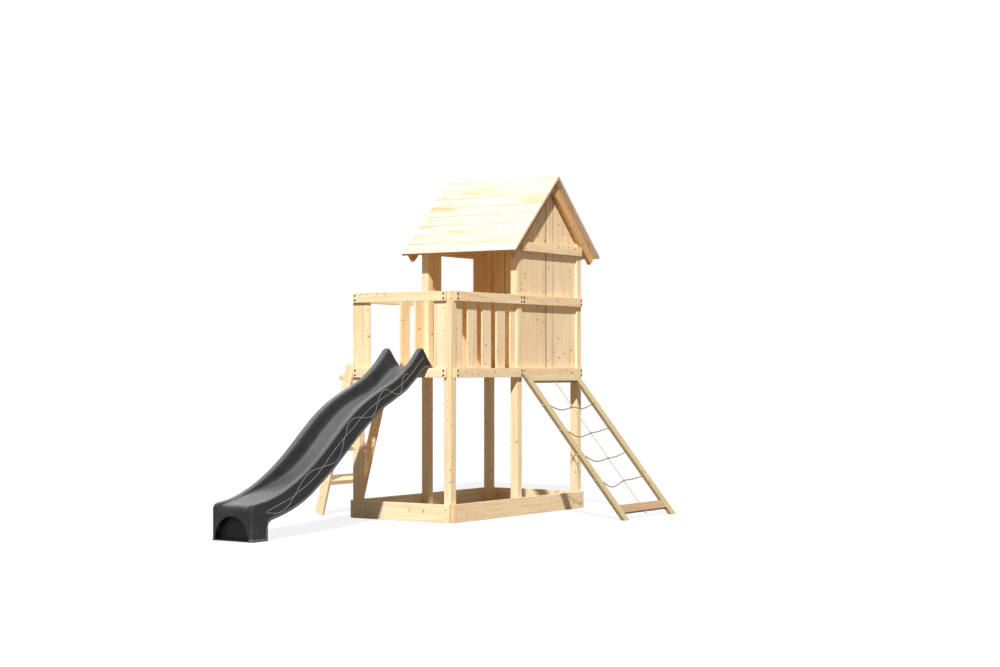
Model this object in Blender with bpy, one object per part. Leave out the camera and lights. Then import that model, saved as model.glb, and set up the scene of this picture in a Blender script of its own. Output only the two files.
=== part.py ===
"""Stilt playhouse: a timber tower on six posts with a balcony, a gabled house on its rear bay, a
wave slide at the front, a step ladder on the left and a rope climbing ramp on the right.

Metres, +Z up. While it is built, x = 0 is the middle of the tower, y = 0 the front faces of the
front posts and z = 0 the ground. At the end the whole is set on its origin, the bottom centre of
its bounding box.
"""
import math

import bpy
import bmesh
from mathutils import Vector

for old in list(bpy.data.objects):
    bpy.data.objects.remove(old, do_unlink=True)

# Clearances and small common sizes
GAP = 0.0003                # between pieces that touch
ARRIS = 0.002               # broken edges of planed timber
ROOF_CLEAR = 0.003          # walls and posts below the roof boards
GROOVE_WIDTH = 0.007        # V-grooves between matched boards
GROOVE_DEPTH = 0.0035

# Posts and platform
POST = 0.070                # square section
TOWER_WIDTH = 1.000         # over the posts, left to right
TOWER_DEPTH = 2.000         # over the posts, front to rear
MIDDLE_POST_Y = 0.967       # front face of the middle posts
PLATFORM_TOP = 1.2429       # top edge of the platform beams
RAIL_TOP = 1.862            # top edge of the rails and of the front posts

# Beams and rails, four-sided bands of the same board
BAND_HEIGHT = 0.0775
BAND_PROUD = 0.027          # stands in front of the post faces
HOUSING = 0.018             # depth of the post housings that take the side bands
FRONT_BAND_INSET_LEFT = 0.017
FRONT_BAND_INSET_RIGHT = 0.037
SIDE_BAND_INSET = 0.037     # front end of the side bands behind the front post faces
SIDE_BAND_JOINT_Y = 1.0115  # butt joint on the middle posts
SIDE_BAND_REAR_INSET = 0.025

# Sandbox
SANDBOX_HEIGHT = 0.147

# Deck
DECK_BOARD = 0.019
DECK_DROP = 0.0004          # deck surface below the beams' top edges
DECK_BOARD_WIDTH = 0.116
BEARER_WIDTH = 0.0447
BEARER_END_CLEAR = 0.020

# Balcony boarding
FRONT_BOARD = 0.018
FRONT_BOARD_WIDTH_LEFT = 0.1047
FRONT_BOARD_WIDTH_RIGHT = 0.0997
SLAT = 0.0153               # thickness of slats and house walls
SLAT_WIDTH = 0.129
RIGHT_SLAT_COUNT = 5
RIGHT_SLAT_FIRST_Y = 0.119  # middle of the first slat
RIGHT_SLAT_PITCH = 0.208
LEFT_SLAT_COUNT = 2
LEFT_SLAT_FIRST_Y = 0.6855
LEFT_SLAT_PITCH = 0.208

# House walls
WALL_SEAMS = (1.445, 1.559)
WINDOW_FRONT_Y = 1.215
WINDOW_REAR_Y = 1.730
WINDOW_HEAD_DROP = 0.004    # head of the window below the tie board's lower edge
REAR_WALL_BOARD_WIDTH = 0.1225

# Roof
RIDGE_TOP = 2.906
ROOF_PITCH = math.radians(44.08)
ROOF_SLOPE = 0.967          # ridge to eave along the boards' face
ROOF_BOARD = 0.019
ROOF_BOARD_WIDTH = 0.121
ROOF_OVERHANG = 0.0875      # past the posts at each gable
RAFTER_DEPTH = 0.078
RAFTER_WIDTH = 0.0357
RAFTER_SETBACK = 0.004      # rafter ends behind the eaves
TIE_HEIGHT = 0.0775
TIE_DROP = 0.0629           # top edge of the tie board below the tops of the tall posts

# Ladder on the left
LADDER_FOOT_REACH = 0.364   # foot's inner corner outside the post faces
LADDER_FRONT_Y = 0.040
STILE_THICK = 0.030
STILE_WIDTH = 0.080
STILE_HEAD = 0.014          # above the platform beam, along the stile
TREAD_LENGTH = 0.480
TREAD_THICK = 0.036
TREAD_JUT = 0.070           # past the stiles' outer edges
TREAD_COUNT = 4
TREAD_FIRST_Z = 0.273
TREAD_PITCH = 0.285

# Climbing ramp on the right
RAMP_TOP_Z = 1.222          # upper face at the platform beam
RAMP_RUN = 1.0067           # horizontal reach of the upper face
RAMP_NEAR_Y = 0.987
RAMP_WIDTH = 0.874          # over both stiles
RAMP_STILE_WIDTH = 0.080
RAMP_STILE_THICK = 0.028
RAMP_BOARD_WIDTH = 0.078
RAMP_TOP_BOARD = 0.037      # slope distance of the upper board
RAMP_FOOT_BOARD = 1.429     # slope distance of the lower board

# Rope net in the ramp
ROPE = 0.010
ROPE_HOLE = 0.013
KNOT = 0.024
KNOT_LENGTH = 0.020
CENTRE_ROPE_SHIFT = 0.001   # off the middle of the ramp
RUNG_FIRST = 0.368          # slope distance of the first cross rope's holes
RUNG_PITCH = 0.264
RUNG_COUNT = 4
RUNG_DROPS = (0.029, 0.048, 0.054, 0.030)      # centre knots below their holes, along the slope
NEAR_SAGS = (0.030, 0.045, 0.040, 0.055)       # plumb sag of the near halves
FAR_SAGS = (0.025, 0.005, 0.010, 0.005)        # plumb sag of the far halves
ROPE_POINT_STEP = 0.028
ROPE_SIDES_RESOLUTION = 2
ROPE_HOLE_SIDES = 16
BLIND_HOLE = 0.030
ROPE_END_SHARE = 0.8        # how much of a blind hole the rope's end fills
CROSSING_HALF = 0.013       # half the length of a knot where two ropes cross

# Knot shapes: share of the knot's length, then how far it swells from the rope to its full width
STOPPER_SHAPE = ((0, 0), (0.05, 0.52), (0.35, 1), (0.65, 1), (0.95, 0.52), (1, 0), (1.3, 0))
CROSSING_SHAPE = ((-1, 0), (-0.7, 0.57), (-0.25, 1), (0.25, 1), (0.7, 0.57), (1, 0))

# Wave slide at the front
SLIDE_CENTRE_X = 0.102
SLIDE_WIDTH = 0.386
SLIDE_RIM = 0.040           # width of each rolled rim
SLIDE_WALL = 0.006          # moulded wall thickness
SLIDE_LIP = 0.004           # flange along the lower edges
SLIDE_LIP_HEIGHT = 0.007
SLIDE_BACK = -0.023         # behind the front post faces
SLIDE_REACH = 2.160         # in front of them
SLIDE_FOOT_BACK = 1.990
SLIDE_NOTCH_RADIUS = 0.040
SLIDE_NOSE_RADIUS = 0.055
SLIDE_STATION_STEP = 0.075
SLIDE_SHOULDER = 0.014      # rounding of the rims' outer edges
SLIDE_UNDER_WALL = 0.0069   # wall measured plumb
SLIDE_SEAT_END = 0.055      # the solid part on the platform ends before this distance
SLIDE_NOSE_FLAT = 0.050     # straight part before the rounded nose
SLIDE_SEAT_STATIONS = (0.082, 0.094, 0.106, 0.119, 0.140, 0.174, 0.215)
SLIDE_NOTCH_ANGLES = (25, 50, 75)
SLIDE_NOSE_ANGLES = (25, 45)
SLIDE_ARCH_HALF_WIDTH = 0.158
SLIDE_ARCH_HEIGHT = 0.180
SLIDE_ARCH_DEPTH = 0.045
SLIDE_ARCH_STEPS = 16

# Channel of the slide: share of its half width, and share of its depth above the bed
CHANNEL_SHAPE = ((0, 0), (0.60, 0.02), (0.78, 0.10), (0.89, 0.30), (0.96, 0.80), (1.01, 0.96))

# Side outlines of the slide: distance in front of the posts, height above ground
RIM_OUTLINE = ((-0.023, 1.262), (0.030, 1.322), (0.082, 1.385), (0.106, 1.404), (0.132, 1.390),
               (0.174, 1.350), (0.255, 1.277), (0.414, 1.171), (0.570, 1.100), (0.723, 1.038),
               (0.873, 0.966), (1.021, 0.873), (1.167, 0.759), (1.310, 0.641), (1.450, 0.536),
               (1.589, 0.448), (1.725, 0.378), (1.858, 0.324), (1.990, 0.288), (2.160, 0.262))
BED_OUTLINE = ((-0.023, 1.262), (0.020, 1.258), (0.080, 1.231), (0.167, 1.182), (0.246, 1.124),
               (0.325, 1.075), (0.403, 1.038), (0.520, 1.002), (0.633, 0.964), (0.783, 0.889),
               (0.931, 0.785), (1.076, 0.665), (1.219, 0.548), (1.360, 0.461), (1.498, 0.401),
               (1.634, 0.362), (1.780, 0.332), (1.940, 0.300), (2.160, 0.262))
LOWER_OUTLINE = ((-0.023, 1.2432), (0.060, 1.2432), (0.093, 1.232), (0.174, 1.173), (0.255, 1.115),
                 (0.335, 1.062), (0.492, 0.990), (0.647, 0.918), (0.798, 0.817), (0.948, 0.710),
                 (1.094, 0.595), (1.239, 0.483), (1.380, 0.387), (1.520, 0.297), (1.657, 0.232),
                 (1.792, 0.186), (1.930, 0.152), (1.990, 0.140))

# Places that several pieces share
POST_OUTER = TOWER_WIDTH / 2
POST_INNER = POST_OUTER - POST
REAR_POST_Y = TOWER_DEPTH - POST
BAND_OUTER = POST_OUTER + BAND_PROUD
BAND_INNER = POST_OUTER - HOUSING + GAP
WALL_OUTER = BAND_INNER - GAP
WALL_INNER = WALL_OUTER - SLAT
PLATFORM_BOTTOM = PLATFORM_TOP - BAND_HEIGHT
DECK_TOP = PLATFORM_TOP - DECK_DROP
HOUSE_FRONT_Y = MIDDLE_POST_Y + POST + GAP
HOUSE_REAR_Y = REAR_POST_Y - GAP
HOUSE_MIDDLE_Y = (MIDDLE_POST_Y + TOWER_DEPTH) / 2
REAR_WALL_Y = TOWER_DEPTH - GAP - SLAT
ROOF_UNDER_APEX = RIDGE_TOP - ROOF_BOARD / math.cos(ROOF_PITCH)
RAFTER_UNDER_APEX = ROOF_UNDER_APEX - (GAP + RAFTER_DEPTH) / math.cos(ROOF_PITCH)
POST_TALL_TOP = ROOF_UNDER_APEX - math.tan(ROOF_PITCH) * (HOUSE_MIDDLE_Y - MIDDLE_POST_Y) - ROOF_CLEAR
TIE_BOTTOM = POST_TALL_TOP - TIE_DROP - TIE_HEIGHT
WINDOW_TOP = TIE_BOTTOM - WINDOW_HEAD_DROP
RAMP_ANGLE = math.atan2(RAMP_TOP_Z, RAMP_RUN)
RAMP_HEAD_X = BAND_OUTER + GAP
ROPE_DEPTH = RAMP_STILE_THICK / 2
SIDES = (("right", 1), ("left", -1))

assembly = bpy.data.objects.new("playhouse_origin", None)
bpy.context.scene.collection.objects.link(assembly)


def surface(name, colour, roughness):
    """A Principled material from an sRGB hex colour."""
    channels = [int(colour[i:i + 2], 16) / 255 for i in (0, 2, 4)]
    linear = [c / 12.92 if c <= 0.04045 else ((c + 0.055) / 1.055) ** 2.4 for c in channels]
    material = bpy.data.materials.new(name)
    material.use_nodes = True
    shader = material.node_tree.nodes["Principled BSDF"]
    shader.inputs["Base Color"].default_value = (*linear, 1)
    shader.inputs["Roughness"].default_value = roughness
    shader.inputs["Metallic"].default_value = 0
    return material


SPRUCE = surface("planed_spruce", "F2D9A8", 0.65)
ROOF_SPRUCE = surface("roof_spruce", "F6E6BE", 0.65)
RAMP_SPRUCE = surface("ramp_spruce", "D8CA94", 0.7)
PLASTIC = surface("slide_plastic", "4A4A4A", 0.45)
HEMP = surface("rope_fibre", "B7A47E", 0.9)


def finish_object(name, mesh, material):
    """Put a mesh into the scene as a child of the assembly."""
    mesh.materials.append(material)
    obj = bpy.data.objects.new(name, mesh)
    obj.parent = assembly
    bpy.context.scene.collection.objects.link(obj)
    return obj


def solid(name, points, faces, material):
    """A closed mesh whose faces are turned outwards."""
    mesh = bpy.data.meshes.new(name)
    work = bmesh.new()
    vertices = [work.verts.new(p) for p in points]
    for face in faces:
        work.faces.new([vertices[i] for i in face])
    bmesh.ops.recalc_face_normals(work, faces=work.faces)
    work.to_mesh(mesh)
    work.free()
    return finish_object(name, mesh, material)


def break_edges(obj):
    """Small flats along the edges of planed timber."""
    bevel = obj.modifiers.new("arris", "BEVEL")
    bevel.width = ARRIS
    bevel.segments = 1
    bevel.limit_method = "ANGLE"
    bevel.angle_limit = math.radians(40)
    return obj


def box(name, x_span, y_span, z_span, material=SPRUCE, arris=True):
    """A board or post between three pairs of planes, with its origin at its middle."""
    spans = (x_span, y_span, z_span)
    centre = Vector([(min(s) + max(s)) / 2 for s in spans])
    half = [(max(s) - min(s)) / 2 for s in spans]
    signs = [(a, b, c) for c in (-1, 1) for b in (-1, 1) for a in (-1, 1)]
    points = [(a * half[0], b * half[1], c * half[2]) for a, b, c in signs]
    faces = [(0, 1, 3, 2), (4, 5, 7, 6), (0, 1, 5, 4), (2, 3, 7, 6), (0, 2, 6, 4), (1, 3, 7, 5)]
    obj = solid(name, points, faces, material)
    obj.location = centre
    return break_edges(obj) if arris else obj


def prism(name, outline, axis, span, material=SPRUCE, arris=True):
    """An outline drawn square to an axis and extruded along it."""
    place = {"X": lambda u, v, w: (w, u, v), "Y": lambda u, v, w: (u, w, v),
             "Z": lambda u, v, w: (u, v, w)}[axis]
    count = len(outline)
    points = [place(u, v, w) for w in span for u, v in outline]
    faces = [tuple(range(count)), tuple(range(count, 2 * count))]
    faces += [(i, (i + 1) % count, count + (i + 1) % count, count + i) for i in range(count)]
    obj = solid(name, points, faces, material)
    return break_edges(obj) if arris else obj


def hide_tool(tool):
    """Mark a cutter, which is no part of the object."""
    tool.hide_render = True
    tool.display_type = "WIRE"


def carve(target, tool, operation="DIFFERENCE"):
    """Cut a tool from a target, or join it to it."""
    hide_tool(tool)
    boolean = target.modifiers.new(tool.name, "BOOLEAN")
    boolean.solver = "EXACT"
    boolean.operation = operation
    boolean.object = tool


def grooved_line(start, end, board_width, side):
    """Points from start to end in a plane, with a V-groove at each board seam."""
    start, end = Vector(start), Vector(end)
    length = (end - start).length
    along = (end - start) / length
    inward = Vector((-along.y, along.x)) * side
    points = [start]
    for i in range(1, math.ceil(length / board_width - 0.3)):
        seam = start + along * board_width * i
        points.append(seam - along * GROOVE_WIDTH / 2)
        points.append(seam + inward * GROOVE_DEPTH)
        points.append(seam + along * GROOVE_WIDTH / 2)
    points.append(end)
    return [tuple(p) for p in points]


def slope_height(apex, y):
    """Height at y of a line that falls from the apex at the roof pitch."""
    return apex - abs(y - HOUSE_MIDDLE_Y) * math.tan(ROOF_PITCH)


def gable_cutter(name, apex, x_span):
    """Everything above two roof slopes."""
    reach = TOWER_DEPTH
    top = apex + reach
    low = apex - reach * math.tan(ROOF_PITCH)
    outline = [(HOUSE_MIDDLE_Y, apex), (HOUSE_MIDDLE_Y + reach, low), (HOUSE_MIDDLE_Y + reach, top),
               (HOUSE_MIDDLE_Y - reach, top), (HOUSE_MIDDLE_Y - reach, low)]
    return prism(name, outline, "X", x_span, arris=False)


def mirrored(span, sign):
    """An x span on the right or left side of the tower."""
    return tuple(sorted(sign * value for value in span))


def make_posts():
    """Six posts; the side bands sit in housings cut into their outer faces."""
    rows = (("front", 0, RAIL_TOP), ("middle", MIDDLE_POST_Y, POST_TALL_TOP),
            ("rear", REAR_POST_Y, POST_TALL_TOP))
    housing_ends = (SIDE_BAND_INSET - GAP, TOWER_DEPTH - SIDE_BAND_REAR_INSET + GAP)
    for side, sign in SIDES:
        levels = (("beam", PLATFORM_TOP), ("rail", RAIL_TOP))
        tools = []
        for level, top in levels:
            span = mirrored((BAND_INNER - GAP, BAND_OUTER), sign)
            heights = (top - BAND_HEIGHT - GAP, top + GAP)
            tools.append(box(f"cut_{side}_{level}", span, housing_ends, heights, arris=False))
        for row, y, top in rows:
            span = mirrored((POST_INNER, POST_OUTER), sign)
            post = box(f"post_{row}_{side}", span, (y, y + POST), (0, top))
            for tool in tools:
                carve(post, tool)


def make_bands():
    """Platform beams and rails around the tower."""
    front_span = (-POST_OUTER + FRONT_BAND_INSET_LEFT, POST_OUTER - FRONT_BAND_INSET_RIGHT)
    rear_span = (-POST_OUTER + SIDE_BAND_INSET, POST_OUTER - SIDE_BAND_INSET)
    for level, top in (("platform_beam", PLATFORM_TOP), ("rail", RAIL_TOP)):
        heights = (top - BAND_HEIGHT, top)
        box(f"{level}_front", front_span, (-BAND_PROUD, -GAP), heights)
        box(f"{level}_rear", rear_span, (TOWER_DEPTH + GAP, TOWER_DEPTH + BAND_PROUD), heights)
        for side, sign in SIDES:
            span = mirrored((BAND_INNER, BAND_OUTER), sign)
            joint = SIDE_BAND_JOINT_Y
            rear = TOWER_DEPTH - SIDE_BAND_REAR_INSET
            box(f"{level}_balcony_{side}", span, (SIDE_BAND_INSET, joint - GAP / 2), heights)
            box(f"{level}_house_{side}", span, (joint + GAP / 2, rear), heights)


def make_sandbox():
    """Four boards on edge around the feet of the posts."""
    heights = (0, SANDBOX_HEIGHT)
    width = (-POST_OUTER, POST_OUTER)
    box("sandbox_board_front", width, (-BAND_PROUD, -GAP), heights)
    box("sandbox_board_rear", width, (TOWER_DEPTH + GAP, TOWER_DEPTH + BAND_PROUD), heights)
    for side, sign in SIDES:
        span = mirrored((POST_OUTER + GAP, BAND_OUTER), sign)
        box(f"sandbox_board_{side}", span, (0, TOWER_DEPTH), heights)


def front_board_spans():
    """x spans of the two boards beside the slide."""
    left = (-POST_INNER + GAP, -POST_INNER + GAP + FRONT_BOARD_WIDTH_LEFT)
    right = (POST_INNER - GAP - FRONT_BOARD_WIDTH_RIGHT, POST_INNER - GAP)
    return (("left", left), ("right", right))


def make_deck():
    """Deck boards across two bearers, notched round the posts and the front boards."""
    top = DECK_TOP
    bottom = DECK_TOP - DECK_BOARD
    rear = REAR_WALL_Y - GAP
    outline = grooved_line((0, top), (rear, top), DECK_BOARD_WIDTH, -1)
    outline += [(rear, bottom), (0, bottom)]
    half = WALL_INNER - GAP
    deck = prism("deck", outline, "X", (-half, half), arris=False)
    heights = (bottom - POST, top + POST)
    for side, sign in SIDES:
        for row, y in (("front", 0), ("middle", MIDDLE_POST_Y), ("rear", REAR_POST_Y)):
            span = mirrored((POST_INNER - GAP, POST_OUTER), sign)
            depth = (y - GAP, y + POST + GAP)
            carve(deck, box(f"cut_deck_{row}_{side}", span, depth, heights, arris=False))
        span = mirrored((POST_INNER - GAP - BEARER_WIDTH, POST_INNER - GAP), sign)
        box(f"deck_bearer_{side}", span, (BEARER_END_CLEAR, TOWER_DEPTH - BEARER_END_CLEAR),
            (PLATFORM_BOTTOM, bottom - GAP))
    for side, span in front_board_spans():
        wide = (span[0] - GAP, span[1] + GAP)
        tool = box(f"cut_deck_board_{side}", wide, (-POST, FRONT_BOARD + GAP), heights, arris=False)
        carve(deck, tool)


def make_balcony_boards():
    """Upright boards beside the slide and open slats along both sides."""
    heights = (PLATFORM_BOTTOM, RAIL_TOP)
    for side, span in front_board_spans():
        box(f"front_board_{side}", span, (0, FRONT_BOARD), heights)
    bay = (POST + GAP, MIDDLE_POST_Y - GAP)
    rows = ((RIGHT_SLAT_COUNT, RIGHT_SLAT_FIRST_Y, RIGHT_SLAT_PITCH),
            (LEFT_SLAT_COUNT, LEFT_SLAT_FIRST_Y, LEFT_SLAT_PITCH))
    for (side, sign), (count, first, pitch) in zip(SIDES, rows):
        for i in range(count):
            middle = first + pitch * i
            start = max(bay[0], middle - SLAT_WIDTH / 2)
            end = min(bay[1], middle + SLAT_WIDTH / 2)
            span = mirrored((WALL_INNER, WALL_OUTER), sign)
            box(f"balcony_slat_{side}_{i + 1}", span, (start, end), heights)


def wall_outline(y_start, y_end, seams, sign):
    """Plan of a boarded side wall, with grooves in its outer face."""
    outer = [(WALL_OUTER, y_start)]
    for seam in seams:
        outer.append((WALL_OUTER, seam - GROOVE_WIDTH / 2))
        outer.append((WALL_OUTER - GROOVE_DEPTH, seam))
        outer.append((WALL_OUTER, seam + GROOVE_WIDTH / 2))
    outer.append((WALL_OUTER, y_end))
    outline = outer + [(WALL_INNER, y_end), (WALL_INNER, y_start)]
    return [(sign * x, y) for x, y in outline]


def make_house_walls():
    """Right wall, rear wall, and the left wall in four panels round its window."""
    above = ROOF_UNDER_APEX - ROOF_CLEAR / math.cos(ROOF_PITCH)
    cutter = gable_cutter("cut_walls_at_roof", above, (-TOWER_WIDTH, TOWER_WIDTH))
    tall = (PLATFORM_BOTTOM, RIDGE_TOP)
    right = wall_outline(HOUSE_FRONT_Y, HOUSE_REAR_Y, WALL_SEAMS, 1)
    walls = [prism("house_wall_right", right, "Z", tall, arris=False)]
    front = wall_outline(HOUSE_FRONT_Y, WINDOW_FRONT_Y, (), -1)
    rear = wall_outline(WINDOW_REAR_Y, HOUSE_REAR_Y, (), -1)
    between = (WINDOW_FRONT_Y + GAP, WINDOW_REAR_Y - GAP)
    sill = wall_outline(*between, WALL_SEAMS, -1)
    header = wall_outline(*between, WALL_SEAMS, -1)
    walls.append(prism("house_wall_left_front", front, "Z", tall, arris=False))
    walls.append(prism("house_wall_left_rear", rear, "Z", tall, arris=False))
    prism("house_wall_left_sill", sill, "Z", (PLATFORM_BOTTOM, RAIL_TOP), arris=False)
    walls.append(prism("house_wall_left_header", header, "Z", (WINDOW_TOP, RIDGE_TOP), arris=False))
    half = POST_INNER - GAP
    inner = grooved_line((-half, REAR_WALL_Y), (half, REAR_WALL_Y), REAR_WALL_BOARD_WIDTH, 1)
    outline = inner + [(half, REAR_WALL_Y + SLAT), (-half, REAR_WALL_Y + SLAT)]
    walls.append(prism("house_wall_rear", outline, "Z", tall, arris=False))
    for wall in walls:
        carve(wall, cutter)


def slope_point(apex, distance, depth, sign):
    """Point in the y-z plane, at a distance down a roof slope and a depth below its face."""
    across = distance * math.cos(ROOF_PITCH) - depth * math.sin(ROOF_PITCH)
    down = distance * math.sin(ROOF_PITCH) + depth * math.cos(ROOF_PITCH)
    return (HOUSE_MIDDLE_Y + sign * across, apex - down)


def sloped_board(name, apex, length, thick, x_span, board_width, material):
    """Board or rafter along a roof slope, cut plumb at the ridge and square at the eave."""
    for row, sign in (("front", -1), ("rear", 1)):
        ridge_gap = sign * GAP / 2
        top = (HOUSE_MIDDLE_Y + ridge_gap, slope_height(apex, HOUSE_MIDDLE_Y + ridge_gap))
        under_apex = apex - thick / math.cos(ROOF_PITCH)
        under = (top[0], slope_height(under_apex, top[0]))
        eave = slope_point(apex, length, 0, sign)
        eave_under = slope_point(apex, length, thick, sign)
        face = [top, eave]
        if board_width:
            face = grooved_line(eave, top, board_width, sign)[::-1]
        prism(f"{name[0]}_{row}{name[1]}", face + [eave_under, under], "X", x_span, material,
              arris=not board_width)


def make_roof():
    """Two boarded slopes on four rafters, with a tie board below the rafters at each gable."""
    overhang = POST_OUTER + ROOF_OVERHANG
    sloped_board(("roof_slope", ""), RIDGE_TOP, ROOF_SLOPE, ROOF_BOARD, (-overhang, overhang),
                 ROOF_BOARD_WIDTH, ROOF_SPRUCE)
    rafter_apex = ROOF_UNDER_APEX - GAP / math.cos(ROOF_PITCH)
    below_roof = (RIDGE_TOP - rafter_apex) * math.sin(ROOF_PITCH)
    rafter_length = ROOF_SLOPE - RAFTER_SETBACK - below_roof
    tie_apex = RAFTER_UNDER_APEX - GAP / math.cos(ROOF_PITCH)
    for side, sign in SIDES:
        span = mirrored((POST_OUTER + GAP, POST_OUTER + GAP + RAFTER_WIDTH), sign)
        sloped_board(("rafter", f"_{side}"), rafter_apex, rafter_length, RAFTER_DEPTH, span, 0, SPRUCE)
        span = mirrored((POST_OUTER + GAP, BAND_OUTER), sign)
        depth = (SIDE_BAND_JOINT_Y, TOWER_DEPTH - SIDE_BAND_REAR_INSET)
        tie = box(f"gable_tie_{side}", span, depth, (TIE_BOTTOM, TIE_BOTTOM + TIE_HEIGHT))
        carve(tie, gable_cutter(f"cut_tie_{side}", tie_apex, mirrored((0, TOWER_WIDTH), sign)))


def make_ladder():
    """Two leaning stiles against the left platform beam, with four treads between them."""
    head_x = -BAND_OUTER - GAP
    foot_x = -POST_OUTER - LADDER_FOOT_REACH
    lean = math.atan2(head_x - foot_x, PLATFORM_TOP)
    length = PLATFORM_TOP / math.cos(lean) + STILE_HEAD

    def place(along, outward):
        """Point in the x-z plane, along the inner edge and outwards from it."""
        x = foot_x + along * math.sin(lean) - outward * math.cos(lean)
        return (x, along * math.cos(lean) + outward * math.sin(lean))

    stile = [place(0, 0), place(length, 0), place(length, STILE_WIDTH), place(0, STILE_WIDTH)]
    rear_y = LADDER_FRONT_Y + STILE_THICK + TREAD_LENGTH
    for row, y in (("front", LADDER_FRONT_Y), ("rear", rear_y)):
        prism(f"ladder_stile_{row}", stile, "Y", (y, y + STILE_THICK))
    span = (LADDER_FRONT_Y + STILE_THICK + GAP, rear_y - GAP)
    for i in range(TREAD_COUNT):
        middle = (TREAD_FIRST_Z + TREAD_PITCH * i) / math.cos(lean)
        low, high = middle - TREAD_THICK / 2, middle + TREAD_THICK / 2
        reach = STILE_WIDTH + TREAD_JUT
        tread = [place(low, 0), place(high, 0), place(high, reach), place(low, reach)]
        prism(f"ladder_tread_{i + 1}", tread, "Y", span)


def ramp_point(slope, y, depth=0.0):
    """Point at a distance down the ramp's upper face and a depth below it."""
    x = RAMP_HEAD_X + slope * math.cos(RAMP_ANGLE) - depth * math.sin(RAMP_ANGLE)
    z = RAMP_TOP_Z - slope * math.sin(RAMP_ANGLE) - depth * math.cos(RAMP_ANGLE)
    return Vector((x, y, z))


def round_tool(name, start, end, diameter):
    """A round cutter between two points."""
    axis = end - start
    mesh = bpy.data.meshes.new(name)
    work = bmesh.new()
    bmesh.ops.create_cone(work, cap_ends=True, segments=ROPE_HOLE_SIDES, radius1=diameter / 2,
                          radius2=diameter / 2, depth=axis.length)
    work.to_mesh(mesh)
    work.free()
    tool = finish_object(name, mesh, RAMP_SPRUCE)
    tool.location = (start + end) / 2
    tool.rotation_euler = axis.to_track_quat("Z", "Y").to_euler()
    return tool


def make_ramp():
    """Two drilled stiles and two cross boards, cut plumb at the beam and level on the ground."""
    run = RAMP_RUN
    under_head = RAMP_TOP_Z - RAMP_STILE_THICK / math.cos(RAMP_ANGLE)
    under_foot = RAMP_HEAD_X + run - RAMP_STILE_THICK / math.sin(RAMP_ANGLE)
    stile = [(RAMP_HEAD_X, RAMP_TOP_Z), (RAMP_HEAD_X + run, 0), (under_foot, 0),
             (RAMP_HEAD_X, under_head)]
    far_y = RAMP_NEAR_Y + RAMP_WIDTH - RAMP_STILE_WIDTH
    for row, y in (("near", RAMP_NEAR_Y), ("far", far_y)):
        obj = prism(f"ramp_stile_{row}", stile, "Y", (y, y + RAMP_STILE_WIDTH), RAMP_SPRUCE)
        for i in range(RUNG_COUNT):
            slope = RUNG_FIRST + RUNG_PITCH * i
            ends = [ramp_point(slope, y + offset, ROPE_DEPTH)
                    for offset in (-RAMP_STILE_WIDTH / 2, RAMP_STILE_WIDTH * 3 / 2)]
            carve(obj, round_tool(f"cut_ramp_{row}_{i + 1}", *ends, ROPE_HOLE))
    between = (RAMP_NEAR_Y + RAMP_STILE_WIDTH + GAP, far_y - GAP)
    boards = (("top", RAMP_TOP_BOARD), ("foot", RAMP_FOOT_BOARD))
    for row, start in boards:
        corners = [(start, 0), (start + RAMP_BOARD_WIDTH, 0),
                   (start + RAMP_BOARD_WIDTH, RAMP_STILE_THICK), (start, RAMP_STILE_THICK)]
        outline = [(ramp_point(s, 0, d).x, ramp_point(s, 0, d).z) for s, d in corners]
        board = prism(f"ramp_cross_board_{row}", outline, "Y", between, RAMP_SPRUCE)
        lower = start + RAMP_BOARD_WIDTH
        depth = BLIND_HOLE if row == "top" else RAMP_BOARD_WIDTH + BLIND_HOLE
        ends = [ramp_point(s, centre_rope_y(), ROPE_DEPTH) for s in (lower - depth, lower + BLIND_HOLE)]
        carve(board, round_tool(f"cut_cross_board_{row}", *ends, ROPE_HOLE))


def centre_rope_y():
    """Line of the rope that runs down the middle of the ramp."""
    return RAMP_NEAR_Y + RAMP_WIDTH / 2 + CENTRE_ROPE_SHIFT


def smooth_route(points, step):
    """Evenly spaced points on a smooth curve through a rope's own points."""
    ends = [2 * points[0] - points[1], *points, 2 * points[-1] - points[-2]]
    fine = []
    for a, b, c, d in zip(ends, ends[1:], ends[2:], ends[3:]):
        parts = max(1, round((c - b).length / step))
        for i in range(parts):
            t = i / parts
            curve = b * 2 + (c - a) * t + (a * 2 - b * 5 + c * 4 - d) * t * t
            curve += (b * 3 - a - c * 3 + d) * t * t * t
            fine.append(curve / 2)
    fine.append(points[-1].copy())
    return fine


def rope_tube(name, points, radii):
    """A tube whose radius follows a list, which swells into its knots."""
    curve = bpy.data.curves.new(name, "CURVE")
    curve.dimensions = "3D"
    curve.bevel_depth = ROPE / 2
    curve.bevel_resolution = ROPE_SIDES_RESOLUTION
    curve.use_fill_caps = True
    spline = curve.splines.new("POLY")
    spline.points.add(len(points) - 1)
    for slot, point, radius in zip(spline.points, points, radii):
        slot.co = (*point, 1)
        slot.radius = radius * 2 / ROPE
    curve.materials.append(HEMP)
    obj = bpy.data.objects.new(name, curve)
    obj.parent = assembly
    bpy.context.scene.collection.objects.link(obj)
    return obj


def as_mesh(obj):
    """Swap a curve object for the mesh it makes, so that booleans can use it."""
    bpy.context.view_layer.update()
    evaluated = obj.evaluated_get(bpy.context.evaluated_depsgraph_get())
    mesh = bpy.data.meshes.new_from_object(evaluated)
    name = obj.name
    bpy.data.objects.remove(obj, do_unlink=True)
    return finish_object(name, mesh, HEMP)


def knot_radius(swell):
    """Radius between the rope's own, at 0, and the knot's widest, at 1."""
    return (ROPE + (KNOT - ROPE) * swell) / 2


def knot_profile(start, direction):
    """Points and radii of a stopper knot that begins at a face and leads away from it."""
    return [(start + direction * KNOT_LENGTH * part, knot_radius(swell)) for part, swell in STOPPER_SHAPE]


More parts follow.
